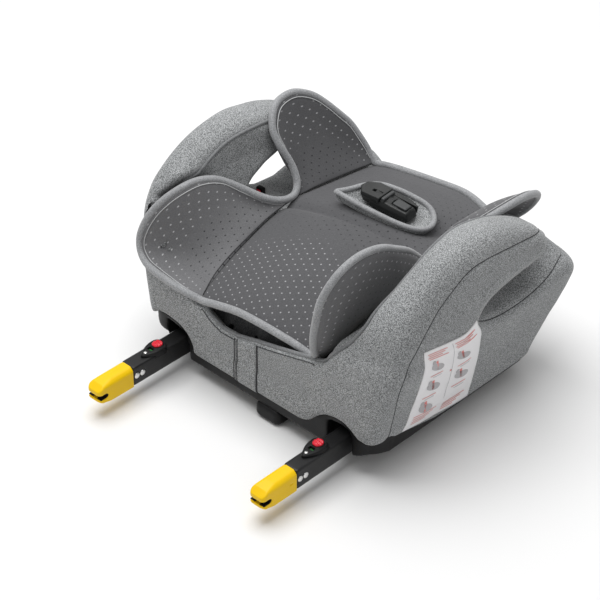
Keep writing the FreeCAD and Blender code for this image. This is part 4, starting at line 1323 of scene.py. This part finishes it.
# stitching inside the binding of the insert and dark seams along its folds
stitches, light_stitches = [], []
for title, (top_grid, base_grid) in wings.items():
    width = np.linalg.norm(top_grid[:, -1] - top_grid[:, 0], axis=1)
    rows = np.where(width > 12)[0]
    shares = 1 - np.minimum(6.6, 0.45 * width[rows]) / width[rows]
    out = top_grid - base_grid
    raised = top_grid + 0.6 * out / (np.linalg.norm(out, axis=2, keepdims=True) + 1e-6)
    line = []
    for row, share in zip(rows, shares):
        place = share * (raised.shape[1] - 1)
        i = int(place)
        after = min(i + 1, raised.shape[1] - 1)
        line.append(raised[row, i] * (1 - (place - i)) + raised[row, after] * (place - i))
    light_stitches.append(tube(resample(np.array(line), 160), 0.6, sides=6))
    inner = top_grid[3:-3, 1] * 0.5 + top_grid[3:-3, 0] * 0.5
    stitches.append(tube(resample(inner, 90), 0.7, sides=6))
seam_line = []
for column in range(1, CENTRE_WIDTH - 1):
    at_row = (SEAM_SHARE + SEAM_SLANT * (column / (CENTRE_WIDTH - 1) - 0.25)) * (CENTRE_LENGTH - 1)
    i = int(at_row)
    seam_line.append(centre_top[i, column] * (1 - at_row + i) + centre_top[i + 1, column] * (at_row - i))
stitches.append(tube(resample(np.array(seam_line), 90), 0.6, sides=6))
for row in (3, CENTRE_LENGTH - 4):
    light_stitches.append(tube(resample(centre_top[row, 2:-2], 90), 0.6, sides=6))
light_piece = mesh_object("insert_edge_stitching", *joined(light_stitches))
finish_piece(light_piece, "seat_base", THREAD_LIGHT)
stitch_piece = mesh_object("insert_stitching", *joined(stitches))
finish_piece(stitch_piece, "seat_base", THREAD)

# front adjuster grip
grip = carved("grip_bar", (-37, -235, 36), (37, -212, 62), 1.2,
              lambda x, y, z: np.maximum(block(x, y, z, (-34, -232, 40), (34, -218, 58), 5.0),
                                         -(np.hypot(y + 236, z - 49) - 6.5)), 1)
finish_piece(grip, "adjuster", RED, ("adjuster_grip",))

# rounded rear end of the keel, seen below the rim
keel_end = carved("keel_rear_end", (-42, 56, -2), (8, 115, 26), 1.4,
                  lambda x, y, z: smooth_most(smooth_most(between(x, -38, 3), between(y, 60, 111), 9.0),
                                              between(z, 0.5, 23), 8.0), 2)
finish_piece(keel_end, "seat_base", BLACK)

# CAD nodes that stay visible
for name, material in (
        ("bottom_cover", BLACK), ("keel", RUBBER), ("front_feet", RUBBER), ("bottom_screws", STEEL),
        ("guide_rail_left", BLACK), ("guide_rail_right", BLACK), ("lock_bracket", DARK_STEEL),
        ("backrest_socket", BLACK), ("strap_webbing", LINING), ("cross_bar", DARK_STEEL),
        ("lock_rack", DARK_STEEL), ("adjuster_rod", DARK_STEEL), ("lock_pawl", STEEL),
        ("seat_deck", BLACK)):
    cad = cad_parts[name]
    cad.data.materials.clear()
    cad.data.materials.append(material)


# ---- stage


def soft_light(name, place, aim, size, power):
    """An area light at a place, turned to a point."""
    data = bpy.data.lights.new(name, "AREA")
    data.shape = "RECTANGLE"
    data.size, data.size_y = size
    data.energy = power
    light = bpy.data.objects.new(name, data)
    light.location = place
    light.rotation_euler = (Vector(aim) - Vector(place)).to_track_quat("-Z", "Y").to_euler()
    bpy.context.scene.collection.objects.link(light)


floor_data = bpy.data.meshes.new("floor")
reach = 4  # metres
floor_data.from_pydata([(-reach, -reach, 0), (reach, -reach, 0), (reach, reach, 0), (-reach, reach, 0)],
                       [], [(0, 1, 2, 3)])
floor = bpy.data.objects.new("floor", floor_data)
bpy.context.scene.collection.objects.link(floor)
floor_material, _, floor_shader = new_material("floor_white")
set_inputs(floor_shader, Base_Color=(0.76, 0.76, 0.76, 1), Roughness=0.9, Specular_IOR_Level=0.1)
floor_data.materials.append(floor_material)

world = bpy.data.worlds.new("studio")
world.use_nodes = True
world.node_tree.nodes["Background"].inputs["Color"].default_value = (1, 1, 1, 1)
world.node_tree.nodes["Background"].inputs["Strength"].default_value = 0.52
bpy.context.scene.world = world
seat_middle = (0, 0, 0.1)
soft_light("key", (0.35, 0.1, 2.3), seat_middle, (2.0, 2.0), 60)
soft_light("front", (0.9, -1.6, 1.5), seat_middle, (1.4, 1.0), 6)
bpy.context.scene.view_settings.view_transform = "Standard"
